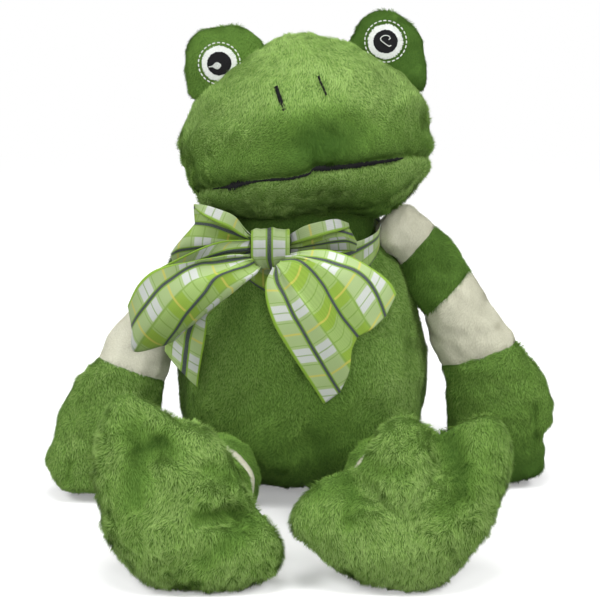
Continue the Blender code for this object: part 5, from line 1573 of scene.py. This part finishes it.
def band_rows(rows, across):
    """The neck band, standing off the body's shoulder a little further in front and behind."""
    angle = np.linspace(0, 2 * math.pi, rows)
    share = BAND_SIDE_SHARE + (BAND_FRONT_SHARE - BAND_SIDE_SHARE) * np.sin(angle) ** 2
    shoulder = [(radius, height) for height, radius in BODY_PROFILE[8:-1]][::-1]
    low = (follow(shoulder, share) * BODY_HEIGHT + 0.9 * MM)[:, None]
    depth = np.where(np.sin(angle) < 0, BODY_FRONT, BODY_BACK)
    part = np.linspace(0, 1, across)[None]
    crumple = 0.5 * MM * np.sin(9 * angle)[:, None] * np.sin(math.pi * part)
    x = ((BODY_HALF_WIDTH * share)[:, None] + crumple) * np.cos(angle)[:, None]
    y = ((depth * share)[:, None] + crumple) * np.sin(angle)[:, None]
    return np.stack([x, y, low + (BAND_TOP_Z - low) * part], axis=-1)


def knot_rows(knot, rows, across):
    """The knot: the ribbon wrapped once round the bow's middle, its width gathered into soft folds."""
    angle = np.linspace(0.97 * math.pi, -0.97 * math.pi, rows)[:, None]
    part = np.linspace(-1, 1, across)[None]
    waist = 1 - 0.1 * part ** 2
    folds = 0.3 * MM * np.sin(7.5 * part + 0.7) + 0.15 * MM * np.sin(15 * part)
    y = -KNOT_HALF_DEPTH * np.cos(angle) * waist
    z = KNOT_HALF_HEIGHT * np.sin(angle) * waist
    fall = np.clip((-0.3 - np.sin(angle)) / 0.7, 0, 1)
    x = KNOT_HALF_WIDTH * (part * (1 - 0.5 * fall * fall) + 0.12 * fall)
    out = np.stack([0 * x, y / KNOT_HALF_DEPTH, z / KNOT_HALF_HEIGHT], axis=-1)
    return np.stack([x, y, z], axis=-1) + out * folds[..., None] + knot


def build_ribbon():
    knot = knot_place()
    for name, runs in BOW_RUNS.items():
        ribbon_sheet(name + "_cloth", bow_rows(runs, knot, *BOW_GRID), name,
                     start=PLAID_STARTS[name])
    ribbon_sheet("ribbon_neck_band_cloth", band_rows(*BAND_GRID), "ribbon_neck_band",
                 seen=(0.5, 0.5 + BAND_SEEN_SHARE), even=True)
    ribbon_sheet("ribbon_knot_cloth", knot_rows(knot, *KNOT_GRID), "ribbon_knot",
                 start=PLAID_STARTS["ribbon_knot"], seen=(0.0, KNOT_SEEN_SHARE),
                 even=True)


# Stage

def set_floor():
    """A pale floor that keeps the toy's shadow and turns plain white away from it."""
    mesh = bpy.data.meshes.new("floor")
    corners = [(x * FLOOR_REACH, y * FLOOR_REACH, 0) for x, y in ((-1, -1), (1, -1), (1, 1), (-1, 1))]
    mesh.from_pydata(corners, [], [(0, 1, 2, 3)])
    material = bpy.data.materials.new("floor")
    material.use_nodes = True
    tree = material.node_tree
    tree.nodes.clear()
    camera = node(tree, "ShaderNodeLightPath").outputs["Is Camera Ray"]
    shade = mixed(tree, camera, (0.4, 0.4, 0.4, 1), (0.86, 0.86, 0.86, 1))
    matte = node(tree, "ShaderNodeBsdfDiffuse", {"Color": shade}).outputs[0]
    lift = node(tree, "ShaderNodeEmission", {"Color": (1, 1, 1, 1), "Strength": times(tree, camera, 0.25)})
    near = node(tree, "ShaderNodeAddShader", [matte, lift.outputs[0]]).outputs[0]
    blank = node(tree, "ShaderNodeEmission", {"Strength": 1.0}).outputs[0]
    far = ranged(tree, vector_math(tree, "LENGTH", own_place(tree)), 0.3, 0.62)
    surface = node(tree, "ShaderNodeMixShader", [times(tree, far, camera), near, blank]).outputs[0]
    node(tree, "ShaderNodeOutputMaterial", {"Surface": surface})
    mesh.materials.append(material)
    show("floor", mesh)


def set_world():
    """Plain white behind the toy, and a weak light from all round it."""
    world = bpy.data.worlds.new("studio")
    world.use_nodes = True
    tree = world.node_tree
    back = tree.nodes["Background"].inputs
    path = node(tree, "ShaderNodeLightPath").outputs
    seen = either(tree, path["Is Camera Ray"], path["Is Glossy Ray"])
    seen = either(tree, seen, path["Is Transmission Ray"])
    feed(tree, back["Color"], (1, 1, 1, 1))
    feed(tree, back["Strength"], ranged(tree, seen, 0.0, 1.0, 0.18, 1.0))
    bpy.context.scene.world = world


def light_area(name, place, size_m, power):
    """A round lamp that shines on the toy's middle."""
    lamp = bpy.data.lights.new(name, "AREA")
    lamp.shape = "DISK"
    lamp.size = size_m
    lamp.energy = power
    made = show(name, lamp)
    made.location = place
    made.rotation_euler = (Vector(LIGHT_AIM) - Vector(place)).to_track_quat("-Z", "Y").to_euler()


def set_camera():
    lens = bpy.data.cameras.new("camera")
    lens.sensor_width = SENSOR_MM
    lens.lens = LENS_MM
    lens.clip_start = 0.01
    made = show("camera", lens)
    made.location = CAMERA_PLACE
    made.rotation_euler = (CAMERA_PITCH, 0, 0)
    bpy.context.scene.camera = made


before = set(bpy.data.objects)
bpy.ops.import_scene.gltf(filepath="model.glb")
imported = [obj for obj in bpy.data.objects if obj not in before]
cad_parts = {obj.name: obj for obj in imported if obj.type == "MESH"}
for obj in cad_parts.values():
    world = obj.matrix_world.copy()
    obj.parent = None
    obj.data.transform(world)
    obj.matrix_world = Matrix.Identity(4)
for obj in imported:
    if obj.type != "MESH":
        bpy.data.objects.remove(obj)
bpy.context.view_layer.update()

NAP_GROUP = make_nap_group()
PILE_TREE = make_pile_tree()
STITCH_TREE = make_stitch_tree()
GREEN_BACKING = backing_material("green_backing", (68, 100, 37), (116, 148, 72))
CREAM_BACKING = backing_material("cream_backing", (182, 180, 158), (212, 211, 192))
GREEN_PILE = pile_material("green_pile", (60, 90, 32), (60, 92, 31), (110, 146, 63), (154, 182, 106))
CREAM_PILE = pile_material("cream_pile", (196, 195, 174), (200, 199, 178), (209, 208, 188), (222, 221, 204))
GREEN = (GREEN_BACKING, GREEN_PILE)
CREAM = (CREAM_BACKING, CREAM_PILE)
WHITE_FILLING = backing_material("white_filling", (226, 225, 220), (236, 235, 230))
BLACK_THREAD = thread_material("black_thread", (7, 7, 8), (22, 22, 24), 0.0, 0.6)
WHITE_THREAD = thread_material("white_thread", (186, 189, 184), (218, 221, 217), 0.05)
PLAID = ribbon_material()

build_head()
build_body()
for side in (LEFT, RIGHT):
    build_arm(side)
    build_leg(side)
    build_foot(side)
build_ribbon()

set_floor()
set_world()
for name, place, size_m, power in LAMPS:
    light_area(name, place, size_m, power)
set_camera()
bpy.context.scene.view_settings.view_transform = "Standard"
